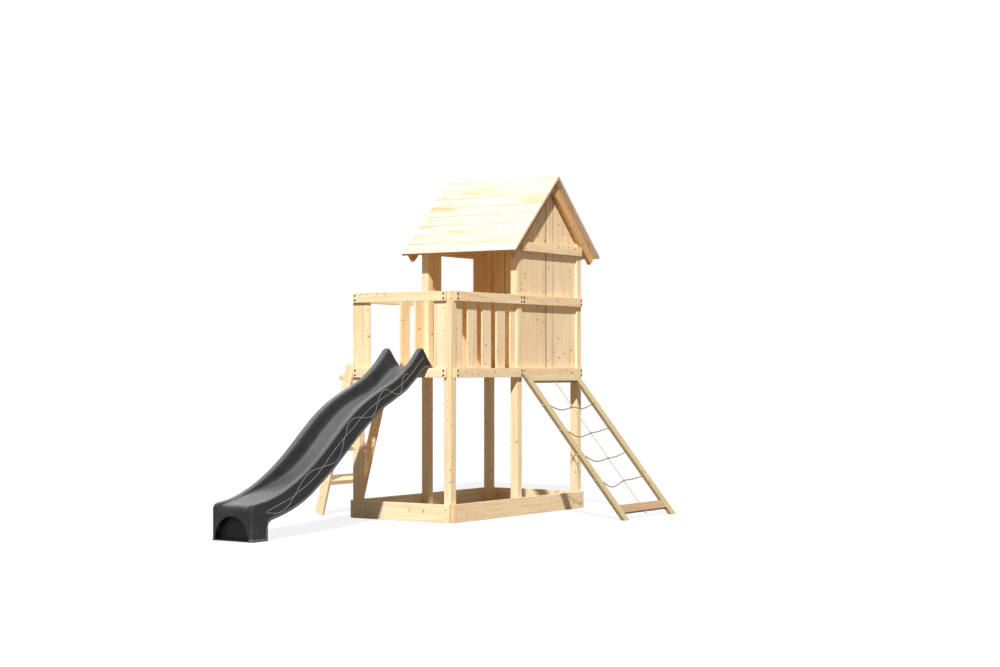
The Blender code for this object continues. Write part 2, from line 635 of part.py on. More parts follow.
def cross_rope(index):
    """Rope from the near stopper knot through both stiles and the centre knot to the far one."""
    slope = RUNG_FIRST + RUNG_PITCH * index
    near_face = ramp_point(slope, RAMP_NEAR_Y - GAP, ROPE_DEPTH)
    far_face = ramp_point(slope, RAMP_NEAR_Y + RAMP_WIDTH + GAP, ROPE_DEPTH)
    near_exit = ramp_point(slope, RAMP_NEAR_Y + RAMP_STILE_WIDTH, ROPE_DEPTH)
    far_exit = ramp_point(slope, RAMP_NEAR_Y + RAMP_WIDTH - RAMP_STILE_WIDTH, ROPE_DEPTH)
    middle = ramp_point(slope + RUNG_DROPS[index], centre_rope_y(), ROPE_DEPTH)
    near_low = (near_exit + middle) / 2 - Vector((0, 0, NEAR_SAGS[index]))
    far_low = (middle + far_exit) / 2 - Vector((0, 0, FAR_SAGS[index]))
    route = smooth_route([near_exit, near_low, middle, far_low, far_exit], ROPE_POINT_STEP)
    across = Vector((0, 1, 0))
    near_knot = knot_profile(near_face, -across)[::-1]
    far_knot = knot_profile(far_face, across)
    body = [(point, ROPE / 2) for point in route]
    return near_knot + body + far_knot


def centre_rope():
    """Rope down the middle, swelling at its knots with the cross ropes."""
    y = centre_rope_y()
    start = RAMP_TOP_BOARD + RAMP_BOARD_WIDTH - BLIND_HOLE * ROPE_END_SHARE
    line = [(start, ROPE / 2)]
    for i in range(RUNG_COUNT):
        knot = RUNG_FIRST + RUNG_PITCH * i + RUNG_DROPS[i]
        line += [(knot + CROSSING_HALF * part, knot_radius(swell)) for part, swell in CROSSING_SHAPE]
    down = (ramp_point(1, 0) - ramp_point(0, 0)).normalized()
    route = [(ramp_point(slope, y, ROPE_DEPTH), radius) for slope, radius in line]
    foot = ramp_point(RAMP_FOOT_BOARD + RAMP_BOARD_WIDTH + GAP, y, ROPE_DEPTH)
    return route + knot_profile(foot, down)


def make_net():
    """Four sagging cross ropes, knotted to a centre rope, as one net."""
    net = as_mesh(rope_tube("climbing_net", *zip(*centre_rope())))
    for i in range(RUNG_COUNT):
        rung = as_mesh(rope_tube(f"join_cross_rope_{i + 1}", *zip(*cross_rope(i))))
        carve(net, rung, "UNION")


def read_outline(outline, distance):
    """Height of a side outline at a distance, on a smooth curve through its points."""
    places = [p[0] for p in outline]
    heights = [p[1] for p in outline]
    last = len(outline) - 1
    slopes = []
    for i in range(len(outline)):
        a, b = max(i - 1, 0), min(i + 1, last)
        slopes.append((heights[b] - heights[a]) / (places[b] - places[a]))
    i = max(k for k in range(last) if k == 0 or places[k] <= distance)
    width = places[i + 1] - places[i]
    t = min(max((distance - places[i]) / width, 0), 1)
    value = heights[i] * (2 * t ** 3 - 3 * t ** 2 + 1) + heights[i + 1] * (3 * t ** 2 - 2 * t ** 3)
    return value + width * (slopes[i] * (t ** 3 - 2 * t * t + t) + slopes[i + 1] * (t ** 3 - t * t))


def slide_levels(distance):
    """Rim, bed and lower edge of the slide, and how far its underside is hollow."""
    seat = PLATFORM_TOP + GAP
    rise = seat / LOWER_OUTLINE[0][1]
    drawn = (distance - SLIDE_BACK) / (SLIDE_REACH - SLIDE_BACK)
    drawn = RIM_OUTLINE[0][0] + drawn * (RIM_OUTLINE[-1][0] - RIM_OUTLINE[0][0])
    rim = read_outline(RIM_OUTLINE, drawn) * rise
    bed = min(read_outline(BED_OUTLINE, drawn) * rise, rim)
    past_nose = max(0, distance - (SLIDE_REACH - SLIDE_NOSE_RADIUS))
    fall = SLIDE_NOSE_RADIUS - math.sqrt(max(SLIDE_NOSE_RADIUS ** 2 - past_nose ** 2, 0))
    lower = max(read_outline(LOWER_OUTLINE, drawn) * rise, 0)
    if distance < BAND_PROUD + GAP:
        lower = seat
    before_foot = SLIDE_FOOT_BACK - distance
    if before_foot < SLIDE_NOTCH_RADIUS:
        across = SLIDE_NOTCH_RADIUS - max(before_foot, 0)
        drop = SLIDE_NOTCH_RADIUS - math.sqrt(SLIDE_NOTCH_RADIUS ** 2 - across ** 2)
        lower -= drop
    if before_foot < GAP:
        lower = 0
    return rim - fall, bed - fall, lower


def slide_section(distance, hollow):
    """Closed ring of points across the slide, outer faces first, then the underside."""
    rim, bed, lower = slide_levels(distance)
    half = SLIDE_WIDTH / 2
    inner = half - SLIDE_RIM
    depth = rim - bed
    tall = rim - lower
    lip = min(SLIDE_LIP_HEIGHT, tall * 0.3)
    shoulder = min(SLIDE_SHOULDER, tall * 0.3)
    crown = SLIDE_RIM / 4
    face = [(inner * across, bed + depth * up) for across, up in CHANNEL_SHAPE]
    face += [(inner + crown, rim), (half - crown, rim), (half - crown / 4, rim - shoulder * 0.3),
             (half, rim - shoulder), (half, lower + lip), (half + SLIDE_LIP, lower + lip * 0.8),
             (half + SLIDE_LIP, lower)]
    wall, thick = SLIDE_WALL, SLIDE_UNDER_WALL
    flat, foot_of_wall, wall_top = (CHANNEL_SHAPE[i] for i in (1, 3, 4))
    under = [(half - wall, rim - shoulder - thick), (half - crown * 1.2, rim - thick),
             (inner + crown, rim - thick),
             (inner * wall_top[0] + wall, bed + depth * wall_top[1] - thick / 2),
             (inner * foot_of_wall[0] + wall, bed + depth * foot_of_wall[1] - thick),
             (inner * flat[0], bed - thick), (0, bed - thick)]
    floor = lower + GAP * 3
    half_ring = face + [(half - wall, lower)] + [(w, floor + (z - floor) * hollow) for w, z in under]
    ring = half_ring + [(-w, z) for w, z in reversed(half_ring[1:-1])]
    return [(SLIDE_CENTRE_X + w, -distance, z) for w, z in ring]


def slide_stations():
    """Distances of the sections, with how hollow each is: 0 is solid, 1 is a thin wall."""
    end = SLIDE_REACH
    nose = end - SLIDE_NOSE_RADIUS
    notch = SLIDE_FOOT_BACK - SLIDE_NOTCH_RADIUS
    first = SLIDE_SEAT_STATIONS[-1]
    count = round((notch - first) / SLIDE_STATION_STEP)
    thin = [SLIDE_SEAT_END, *SLIDE_SEAT_STATIONS]
    thin += [first + (notch - first) / count * i for i in range(1, count + 1)]
    thin += [notch + SLIDE_NOTCH_RADIUS * math.sin(math.radians(angle)) for angle in SLIDE_NOTCH_ANGLES]
    thin += [SLIDE_FOOT_BACK - GAP * 2, SLIDE_FOOT_BACK + GAP * 2, nose - SLIDE_NOSE_FLAT, nose]
    thin += [nose + SLIDE_NOSE_RADIUS * math.sin(math.radians(angle)) for angle in SLIDE_NOSE_ANGLES]
    thin.append(end - SLIDE_WALL - GAP)
    solid_seat = [SLIDE_BACK, 0, BAND_PROUD + GAP]
    solid_nose = [end - SLIDE_WALL, end]
    return [(s, 0) for s in solid_seat] + [(s, 1) for s in thin] + [(s, 0) for s in solid_nose]


def arch(name, margin, base, y_span):
    """Round-headed block in the slide's foot, larger than its arch by a margin."""
    half = SLIDE_ARCH_HALF_WIDTH + margin
    height = SLIDE_ARCH_HEIGHT + margin
    outline = [(SLIDE_CENTRE_X + half, base)]
    for i in range(1, SLIDE_ARCH_STEPS):
        angle = math.pi * i / SLIDE_ARCH_STEPS
        outline.append((SLIDE_CENTRE_X + half * math.cos(angle), base + (height - base) * math.sin(angle)))
    outline.append((SLIDE_CENTRE_X - half, base))
    return prism(name, outline, "Y", y_span, PLASTIC, arris=False)


def make_slide():
    """Moulded wave slide: one thin wall with rolled rims, hollow below, on a foot with an arch."""
    sections = [slide_section(*station) for station in slide_stations()]
    count = len(sections[0])
    points = [point for section in sections for point in section]
    faces = [tuple(range(count)), tuple(range(len(points) - count, len(points)))]
    for row in range(len(sections) - 1):
        for i in range(count):
            a, b = row * count + i, row * count + (i + 1) % count
            faces.append((a, b, b + count, a + count))
    slide = solid("slide", points, faces, PLASTIC)
    slide.data.shade_smooth()
    slide.data.set_sharp_from_angle(angle=math.radians(40))
    front = -SLIDE_REACH
    back = front + SLIDE_ARCH_DEPTH
    carve(slide, arch("join_arch_wall", SLIDE_WALL, GAP, (front + SLIDE_WALL / 2, back + SLIDE_WALL)), "UNION")
    carve(slide, arch("cut_arch", 0, -SLIDE_WALL, (front - SLIDE_WALL, back)))


make_posts()
make_bands()
make_sandbox()
make_deck()
make_balcony_boards()
make_house_walls()
make_roof()
make_ladder()
make_ramp()
make_net()
make_slide()


def set_on_origin():
    """Move the assembly so that its origin is the bottom centre of its bounding box."""
    bpy.context.view_layer.update()
    graph = bpy.context.evaluated_depsgraph_get()
    corners = []
    for obj in bpy.data.objects:
        if obj.type == "MESH" and not obj.hide_render:
            mesh = obj.evaluated_get(graph).to_mesh()
            corners += [obj.matrix_world @ vertex.co for vertex in mesh.vertices]
    middle = [(min(c[i] for c in corners) + max(c[i] for c in corners)) / 2 for i in (0, 1)]
    assembly.location = (-middle[0], -middle[1], -min(c.z for c in corners))


set_on_origin()
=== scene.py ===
import bisect
import math
import random

import bmesh
import bpy
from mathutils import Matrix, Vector


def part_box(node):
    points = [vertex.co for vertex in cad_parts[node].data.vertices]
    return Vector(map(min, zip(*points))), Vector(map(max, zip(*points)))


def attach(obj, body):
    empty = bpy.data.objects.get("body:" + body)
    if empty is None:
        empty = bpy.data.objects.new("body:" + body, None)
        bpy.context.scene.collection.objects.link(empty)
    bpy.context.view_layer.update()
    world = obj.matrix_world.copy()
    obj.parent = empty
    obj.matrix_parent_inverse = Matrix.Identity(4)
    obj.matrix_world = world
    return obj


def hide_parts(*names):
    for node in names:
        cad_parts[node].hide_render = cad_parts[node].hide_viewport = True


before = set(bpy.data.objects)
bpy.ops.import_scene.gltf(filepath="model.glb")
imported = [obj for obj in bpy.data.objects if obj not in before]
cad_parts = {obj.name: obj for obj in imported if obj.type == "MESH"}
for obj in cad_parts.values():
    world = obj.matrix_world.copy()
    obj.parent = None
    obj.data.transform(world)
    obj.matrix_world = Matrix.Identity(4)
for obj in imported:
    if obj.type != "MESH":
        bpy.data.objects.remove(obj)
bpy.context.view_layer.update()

# Where the tower stands. Sizes below are measured from the middle of the tower, the front faces
# of its front posts and the ground, so this point is added to every place that is worked out.
POST_OUTER = 0.500
front_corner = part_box("post_front_left")[0]
TOWER = Vector((front_corner.x + POST_OUTER, front_corner.y, 0))

# Camera: it stands level with the platform, off the front right corner, with a long lens.
CAMERA_PLACE = (9.119, -12.1525, 1.2429)
CAMERA_TURN = 0.5906
LENS = 66.907
LENS_SHIFT = 0.03454
SENSOR_WIDTH = 36


def put(name, data):
    """A new object in the scene."""
    thing = bpy.data.objects.new(name, data)
    bpy.context.scene.collection.objects.link(thing)
    return thing


camera_data = bpy.data.cameras.new("camera")
camera_data.sensor_width = SENSOR_WIDTH
camera_data.lens = LENS
camera_data.shift_y = LENS_SHIFT
camera = put("camera", camera_data)
camera.location = TOWER + Vector(CAMERA_PLACE)
camera.rotation_euler = (math.radians(90), 0, CAMERA_TURN)
bpy.context.scene.camera = camera

# Light and floor: a key light from the front right, high enough to draw the shadows below the
# rails and the eave, a weak wide light from behind, and a pale surround. The floor is matt white.
KEY_DIRECTION = Vector((0.61, -1.0, 0.92))
KEY_STRENGTH = 4.4
KEY_ANGLE = 1.6
BACK_DIRECTION = Vector((-0.9, 0.7, 0.75))
BACK_STRENGTH = 1.1
BACK_ANGLE = 50
SURROUND_COLOUR = "FFF8EE"
SURROUND_STRENGTH = 0.20
FLOOR_SIZE = 60
FLOOR_BOUNCE = "8A8276"
FLOOR_SHADOW_SHARE = 0.16
FLOOR_BELOW_FEET = 0.0015


def linear(colour):
    """An sRGB hex colour as linear red, green, blue and alpha."""
    channels = [int(colour[i:i + 2], 16) / 255 for i in (0, 2, 4)]
    return (*[c / 12.92 if c <= 0.04045 else ((c + 0.055) / 1.055) ** 2.4 for c in channels], 1)


def add(tree, kind, inputs=(), **settings):
    """Adds a node with its settings, and sets or links its inputs, by name or number.

    A kind is that of a shader node unless it is written out. A node given as an input stands for
    its first output in use."""
    node = tree.nodes.new(kind if "Node" in kind else "ShaderNode" + kind)
    for key, value in settings.items():
        setattr(node, key, value)
    for key, value in dict(inputs).items():
        if isinstance(value, bpy.types.Node):
            value = next(output for output in value.outputs if output.enabled)
        if isinstance(value, bpy.types.NodeSocket):
            tree.links.new(value, node.inputs[key])
        else:
            node.inputs[key].default_value = value
    return node


def new_material(name):
    """A material with an empty node tree."""
    material = bpy.data.materials.new(name)
    material.use_nodes = True
    material.node_tree.nodes.clear()
    return material, material.node_tree


def sun(name, direction, strength, angle):
    """A distant white lamp that shines from a direction."""
    lamp = bpy.data.lights.new(name, "SUN")
    lamp.energy = strength
    lamp.angle = math.radians(angle)
    put(name, lamp).rotation_euler = direction.to_track_quat("Z", "Y").to_euler()


def seen_directly(tree):
    """One where the camera sees a surface, straight, in a reflection or through glass."""
    rays = add(tree, "LightPath").outputs
    seen = add(tree, "Math", {0: rays["Is Camera Ray"], 1: rays["Is Glossy Ray"]}, operation="MAXIMUM")
    return add(tree, "Math", {0: seen, 1: rays["Is Transmission Ray"]}, operation="MAXIMUM")


sun("key_light", KEY_DIRECTION, KEY_STRENGTH, KEY_ANGLE)
sun("back_light", BACK_DIRECTION, BACK_STRENGTH, BACK_ANGLE)

world = bpy.data.worlds.new("pale_surround")
bpy.context.scene.world = world
world.use_nodes = True
tree = world.node_tree
tree.nodes.clear()
lit = add(tree, "Background", {"Color": linear(SURROUND_COLOUR), "Strength": SURROUND_STRENGTH})
white = add(tree, "Background", {"Color": linear("FFFFFF"), "Strength": 1.0})
surround = add(tree, "MixShader", {0: seen_directly(tree), 1: lit, 2: white})
add(tree, "OutputWorld", {0: surround})

floor_material, tree = new_material("matt_white_floor")
matt = add(tree, "BsdfDiffuse", {"Color": linear("FFFFFF")})
bounce = add(tree, "BsdfDiffuse", {"Color": linear(FLOOR_BOUNCE)})
glow = add(tree, "Emission", {"Color": linear("FFFFFF"), "Strength": 1.0})
shown = add(tree, "MixShader", {0: FLOOR_SHADOW_SHARE, 1: glow, 2: matt})
floor_shader = add(tree, "MixShader", {0: seen_directly(tree), 1: bounce, 2: shown})
add(tree, "OutputMaterial", {0: floor_shader})

floor_mesh = bpy.data.meshes.new("floor")
half = FLOOR_SIZE / 2
corners = [(-half, -half, 0), (half, -half, 0), (half, half, 0), (-half, half, 0)]
floor_mesh.from_pydata(corners, [], [(0, 1, 2, 3)])
floor_mesh.materials.append(floor_material)
floor = put("floor", floor_mesh)
floor.location.z = -FLOOR_BELOW_FEET
bpy.context.scene.view_settings.view_transform = "Standard"

# Climbing net: four ropes hang across the ramp from holes in its stiles, with a fifth tied to them
# down the middle. Each is a three-strand laid rope of hemp-coloured polypropylene, 10 mm thick,
# held at its ends and crossings by knots.
ROPE = 0.010
STRANDS = 3
STRAND_RELIEF = 0.16        # how deep the valleys between the strands go, as a share of the radius
STRAND_ROUNDNESS = 1.3
LAY_LENGTH = 0.034          # one full turn of the strands
YARN_PITCH = 0.0016
YARN_LEAN = math.radians(40)
RING_STEP = 0.0030
RING_SIDES = 18
KNOT_CORE = 0.0024          # scale of the knotted loop
KNOT_DEPTH = 1.7            # reach of the loop along its axis, in that scale
KNOT_ROPE = 0.0042          # radius of the rope pulled tight in a knot
KNOT_POINTS = 48
RAMP_TOP_Z = 1.222
RAMP_RUN = 1.0067
RAMP_ANGLE = math.atan2(RAMP_TOP_Z, RAMP_RUN)
RAMP_HEAD_X = 0.5273
RAMP_NEAR_Y = 0.987
RAMP_WIDTH = 0.874
RAMP_FAR_Y = RAMP_NEAR_Y + RAMP_WIDTH
RAMP_STILE_WIDTH = 0.080
ROPE_DEPTH = 0.014
RUNG_FIRST = 0.368
RUNG_PITCH = 0.264
HANGING_STEP = 0.028
CENTRE_ROPE_ASIDE = 0.001
CENTRE_ROPE_Y = RAMP_NEAR_Y + RAMP_WIDTH / 2 + CENTRE_ROPE_ASIDE
CENTRE_ROPE_START = 0.091
CENTRE_ROPE_END = 1.5073
STOPPER = 0.020             # length of the knot that stops a rope outside its hole
ROPE_TAIL = STOPPER * 1.25  # how far a rope reaches beyond its hole
# For each cross rope: how far its middle knot hangs below its holes along the slope, and the plumb
# sag of its near and far halves.
RUNGS = ((0.029, 0.030, 0.025), (0.048, 0.045, 0.005), (0.054, 0.040, 0.010), (0.030, 0.055, 0.005))


def ramp_point(slope, y, depth=0.0):
    """A point at a distance down the ramp's upper face and a depth below it."""
    x = RAMP_HEAD_X + slope * math.cos(RAMP_ANGLE) - depth * math.sin(RAMP_ANGLE)
    z = RAMP_TOP_Z - slope * math.sin(RAMP_ANGLE) - depth * math.cos(RAMP_ANGLE)
    return TOWER + Vector((x, y, z))


def smooth_route(points, step):
    """Points about a step apart on a smooth curve through a few given ones."""
    ends = [2 * points[0] - points[1], *points, 2 * points[-1] - points[-2]]
    fine = []
    for a, b, c, d in zip(ends, ends[1:], ends[2:], ends[3:]):
        parts = max(1, round((c - b).length / step))
        for i in range(parts):
            t = i / parts
            curve = b * 2 + (c - a) * t + (a * 2 - b * 5 + c * 4 - d) * t * t
            curve += (b * 3 - a - c * 3 + d) * t * t * t
            fine.append(curve / 2)
    fine.append(points[-1].copy())
    return fine


def finish_mesh(work, name):
    """The finished mesh of a shape in the making, with its faces turned outwards."""
    bmesh.ops.recalc_face_normals(work, faces=work.faces)
    mesh = bpy.data.meshes.new(name)
    work.to_mesh(mesh)
    work.free()
    return mesh


def link_piece(name, mesh, material):
    """Puts a finished mesh into the scene as a piece that rides on the playhouse."""
    mesh.materials.clear()
    mesh.materials.append(material)
    piece = put(name, mesh)
    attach(piece, "root")
    return piece


def sweep(work, route, radius, closed=False):
    """A tube of laid rope along a route, whose strands turn as it goes."""
    uv = work.loops.layers.uv.verify()
    rings = []
    travelled = 0.0
    side = None
    for i, point in enumerate(route):
        before = route[i - 1] if i or closed else point
        after = route[(i + 1) % len(route)] if i + 1 < len(route) or closed else point
        tangent = (after - before).normalized()
        if side is None:
            side = tangent.orthogonal().normalized()
        side = (side - tangent * side.dot(tangent)).normalized()
        other = tangent.cross(side)
        if i:
            travelled += (point - route[i - 1]).length
        ring = []
        for k in range(RING_SIDES):
            angle = 2 * math.pi * k / RING_SIDES
            lay = angle + 2 * math.pi * travelled / LAY_LENGTH
            valley = (1 - abs(math.cos(STRANDS / 2 * lay))) ** STRAND_ROUNDNESS
            reach = radius * (1 - STRAND_RELIEF * valley)
            outward = side * math.cos(angle) + other * math.sin(angle)
            ring.append(work.verts.new(point + outward * reach))
        rings.append((ring, travelled))
    pairs = list(zip(rings, rings[1:]))
    if closed:
        pairs.append((rings[-1], rings[0]))
    for (ring, low), (following, high) in pairs:
        for k in range(RING_SIDES):
            n = (k + 1) % RING_SIDES
            face = work.faces.new((ring[k], ring[n], following[n], following[k]))
            face.smooth = True
            spots = ((k, low), (k + 1, low), (k + 1, high), (k, high))
            for loop, (turn, along) in zip(face.loops, spots):
                loop[uv].uv = (turn / RING_SIDES * 2 * math.pi * ROPE / 2, along)
    if not closed:
        work.faces.new(rings[0][0][::-1])
        work.faces.new(rings[-1][0])


def knot_mesh(name, places):
    """Tight overhand knots, each a loop of rope pulled through itself, at places with axes."""
    work = bmesh.new()
    for centre, axis in places:
        turn = axis.to_track_quat("Z", "Y")
        loop = []
        for i in range(KNOT_POINTS):
            t = 2 * math.pi * i / KNOT_POINTS
            x = math.sin(t) + 2 * math.sin(2 * t)
            y = math.cos(t) - 2 * math.cos(2 * t)
            place = Vector((x, y, -KNOT_DEPTH * math.sin(3 * t)))
            loop.append(centre + turn @ (place * KNOT_CORE))
        sweep(work, loop, KNOT_ROPE, closed=True)
    return finish_mesh(work, name)


def rope_mesh(name, route):
    """A laid rope along a route."""
    work = bmesh.new()
    sweep(work, route, ROPE / 2)
    return finish_mesh(work, name)


def laid_rope(name, pale, dark):
    """Laid polypropylene rope: spun yarns give it fine stripes across its lay and a dull sheen."""
    material, tree = new_material(name)
    place = add(tree, "TexCoord").outputs
    # The yarns lean across the rope, so their stripes turn with the lay. Dirt darkens the rope in
    # patches of 70 mm.
    lean = add(tree, "Mapping", {"Vector": place["UV"], "Rotation": (0, 0, YARN_LEAN)})
    stripes = {"Vector": lean, "Scale": 1 / (YARN_PITCH * math.pi), "Distortion": 1.5, "Detail": 1.0}
    yarns = add(tree, "TexWave", stripes, bands_direction="X").outputs["Fac"]
    dirt = add(tree, "TexNoise", {"Vector": place["Object"], "Scale": 14.0, "Detail": 3.0})
    colour = add(tree, "Mix", {0: yarns, 6: linear(dark), 7: linear(pale)}, data_type="RGBA")
    shade = add(tree, "MapRange", {0: dirt, 1: 0.35, 2: 0.70, 4: 0.45})
    colour = add(tree, "Mix", {0: shade, 6: colour, 7: linear(dark)}, data_type="RGBA")
    raised = add(tree, "Bump", {"Height": yarns, "Strength": 0.6, "Distance": 0.0004})
    shader = add(tree, "BsdfPrincipled", {"Base Color": colour, "Roughness": 0.78,
                                          "Sheen Weight": 0.25, "Normal": raised})
    add(tree, "OutputMaterial", {0: shader})
    return material


rope_fibre = laid_rope("laid_polypropylene_rope", "BCA380", "86694A")
pale_fibre = laid_rope("laid_polypropylene_rope_pale", "DDD0BE", "C4B298")

across = Vector((0, 1, 0))
plane_normal = (ramp_point(0, 0) - ramp_point(0, 0, 1)).normalized()
down_slope = (ramp_point(1, 0) - ramp_point(0, 0)).normalized()
for i, (drop, near_sag, far_sag) in enumerate(RUNGS):
    slope = RUNG_FIRST + RUNG_PITCH * i
    near_exit = ramp_point(slope, RAMP_NEAR_Y + RAMP_STILE_WIDTH, ROPE_DEPTH)
    far_exit = ramp_point(slope, RAMP_FAR_Y - RAMP_STILE_WIDTH, ROPE_DEPTH)
    middle = ramp_point(slope + drop, CENTRE_ROPE_Y, ROPE_DEPTH)
    near_low = (near_exit + middle) / 2 - Vector((0, 0, near_sag))
    far_low = (middle + far_exit) / 2 - Vector((0, 0, far_sag))
    near_end = ramp_point(slope, RAMP_NEAR_Y - ROPE_TAIL, ROPE_DEPTH)
    far_end = ramp_point(slope, RAMP_FAR_Y + ROPE_TAIL, ROPE_DEPTH)
    hanging = smooth_route([near_exit, near_low, middle, far_low, far_exit], HANGING_STEP)
    route = smooth_route([near_end, *hanging, far_end], RING_STEP)
    rope = link_piece(f"cross_rope_{i + 1}", rope_mesh(f"cross_rope_{i + 1}", route), rope_fibre)
    stoppers = [(ramp_point(slope, y, ROPE_DEPTH), across)
                for y in (RAMP_NEAR_Y - STOPPER / 2, RAMP_FAR_Y + STOPPER / 2)]
    ends = knot_mesh(f"stopper_knots_{i + 1}", stoppers)
    ends = link_piece(f"stopper_knots_{i + 1}", ends, pale_fibre)
    tied = knot_mesh(f"crossing_knot_{i + 1}", [(middle, plane_normal)])
    tied = link_piece(f"crossing_knot_{i + 1}", tied, rope_fibre)
    for piece in (rope, ends, tied):
        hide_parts("climbing_net")

top_end = ramp_point(CENTRE_ROPE_START, CENTRE_ROPE_Y, ROPE_DEPTH)
foot_middle = ramp_point(CENTRE_ROPE_END + STOPPER / 2, CENTRE_ROPE_Y, ROPE_DEPTH)
foot_end = ramp_point(CENTRE_ROPE_END + ROPE_TAIL, CENTRE_ROPE_Y, ROPE_DEPTH)
route = smooth_route([top_end, foot_end], RING_STEP)
rope = link_piece("centre_rope", rope_mesh("centre_rope", route), pale_fibre)
knot = knot_mesh("centre_rope_foot_knot", [(foot_middle, down_slope)])
knot = link_piece("centre_rope_foot_knot", knot, pale_fibre)
for piece in (rope, knot):
    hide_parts("climbing_net")

# Posts: six square posts of planed spruce, with housings for the side beams and rails. Each board
# and post of the playhouse is dressed from its solid, with grain that runs along it from its own
# log.
MERGE = 0.00001
FLAT_ANGLE = math.radians(1)
SHARP_ANGLE = math.radians(50)
LOGS_SPAN = 90              # each log starts at a number up to this, which picks its pattern
LOG_STEP = 1.37             # and each of its boards goes on from there by this
FACES_APART = 1.7           # how far apart on the pattern of knots the faces of a board lie,
BACKS_APART = 5.3           # how far their far sides lie from them,
BOARDS_APART = 0.83         # and how far each board lies from the one before it
TIGHTER_BY = 0.003          # most joints of a boarded panel are tight, and darkened less widely
NO_SEAM = 1.0               # a distance that stands for no seam on that side
RING_GAP = 0.012
KNOT_SPACING = 0.055
SMALLEST_KNOT = 0.0017      # radii
LARGEST_KNOT = 0.0062


def dress_timber(node, material, along=None, across=None, seams=(), open_seams=()):
    """Copies a timber solid as one piece, with its grain written into attributes.

    A boarded panel has its seams at distances along the across direction. Each of its boards has
    grain of its own, and knows how far each place on it is from its seams, which are tight apart
    from those numbered in open_seams. The narrow long faces are marked as edges."""
    work = bmesh.new()
    work.from_mesh(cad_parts[node].data)
    bmesh.ops.remove_doubles(work, verts=work.verts, dist=MERGE)
    bmesh.ops.dissolve_limit(work, angle_limit=FLAT_ANGLE, verts=work.verts, edges=work.edges)
    if along is None:
        longest = max(work.edges, key=lambda edge: edge.calc_length())
        along = (longest.verts[1].co - longest.verts[0].co).normalized()
    sides = [face for face in work.faces if abs(face.normal.dot(along)) < 0.1]
    depth = max(sides, key=lambda face: face.calc_area()).normal.copy()
    depth = (depth - along * depth.dot(along)).normalized()
    width = depth.cross(along).normalized()
    axes = (width, depth, along)
    middle = []
    for axis in axes:
        reach = [vertex.co.dot(axis) for vertex in work.verts]
        middle.append((min(reach) + max(reach)) / 2)
    edges = []
    if seams:
        reach = [vertex.co.dot(across) for vertex in work.verts]
        edges = [min(reach), *seams, max(reach)]
    draw = random.Random(node)
    first_board = draw.uniform(0, LOGS_SPAN)
    turned = draw.choice((-1, 1))
    layers = work.loops.layers
    grain, face_place, seam_gap = [layers.float_vector.new(n) for n in ("grain", "face_place", "seam_gap")]
    board, cut_end, edge = [layers.float.new(n) for n in ("board", "cut_end", "edge")]
    for face in work.faces:
        number = 0
        shift = 0.0
        if seams:
            here = face.calc_center_median().dot(across)
            number = bisect.bisect(seams, here)
            board_middle = (edges[number] + edges[number + 1]) / 2
            shift = (board_middle - (edges[0] + edges[-1]) / 2) * across.dot(width)
        facing = [face.normal.dot(axis) for axis in axes]
        kind = max((0, 1, 2), key=lambda i: abs(facing[i]))
        far_off = first_board + FACES_APART * kind + number * BOARDS_APART
        if facing[kind] < 0:
            far_off += BACKS_APART
        for loop in face.loops:
            place = [loop.vert.co.dot(axis) - centre for axis, centre in zip(axes, middle)]
            loop[grain] = (place[0] - shift, place[1] * turned, place[2])
            in_face = [place[i] for i in (0, 1, 2) if i != kind]
            loop[face_place] = (in_face[0] + far_off, in_face[1] + far_off * 2, 0)
            loop[board] = first_board + number * LOG_STEP
            loop[cut_end] = 1.0 if abs(facing[2]) > 0.9 else 0.0
            loop[edge] = 1.0 if kind == 0 else 0.0
            gaps = [NO_SEAM, NO_SEAM]
            for side, i in ((0, number - 1), (1, number)):
                if 0 <= i < len(seams):
                    gaps[side] = abs(loop.vert.co.dot(across) - seams[i])
                    gaps[side] += 0 if i in open_seams else TIGHTER_BY
            loop[seam_gap] = (*gaps, 0)
    mesh = bpy.data.meshes.new(node + "_timber")
    work.to_mesh(mesh)
    work.free()
    mesh.shade_smooth()
    mesh.set_sharp_from_angle(angle=SHARP_ANGLE)
    piece = link_piece(node + "_timber", mesh, material)
    round_light = piece.modifiers.new("rounded_arrises", "WEIGHTED_NORMAL")
    round_light.keep_sharp = True
    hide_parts(node)


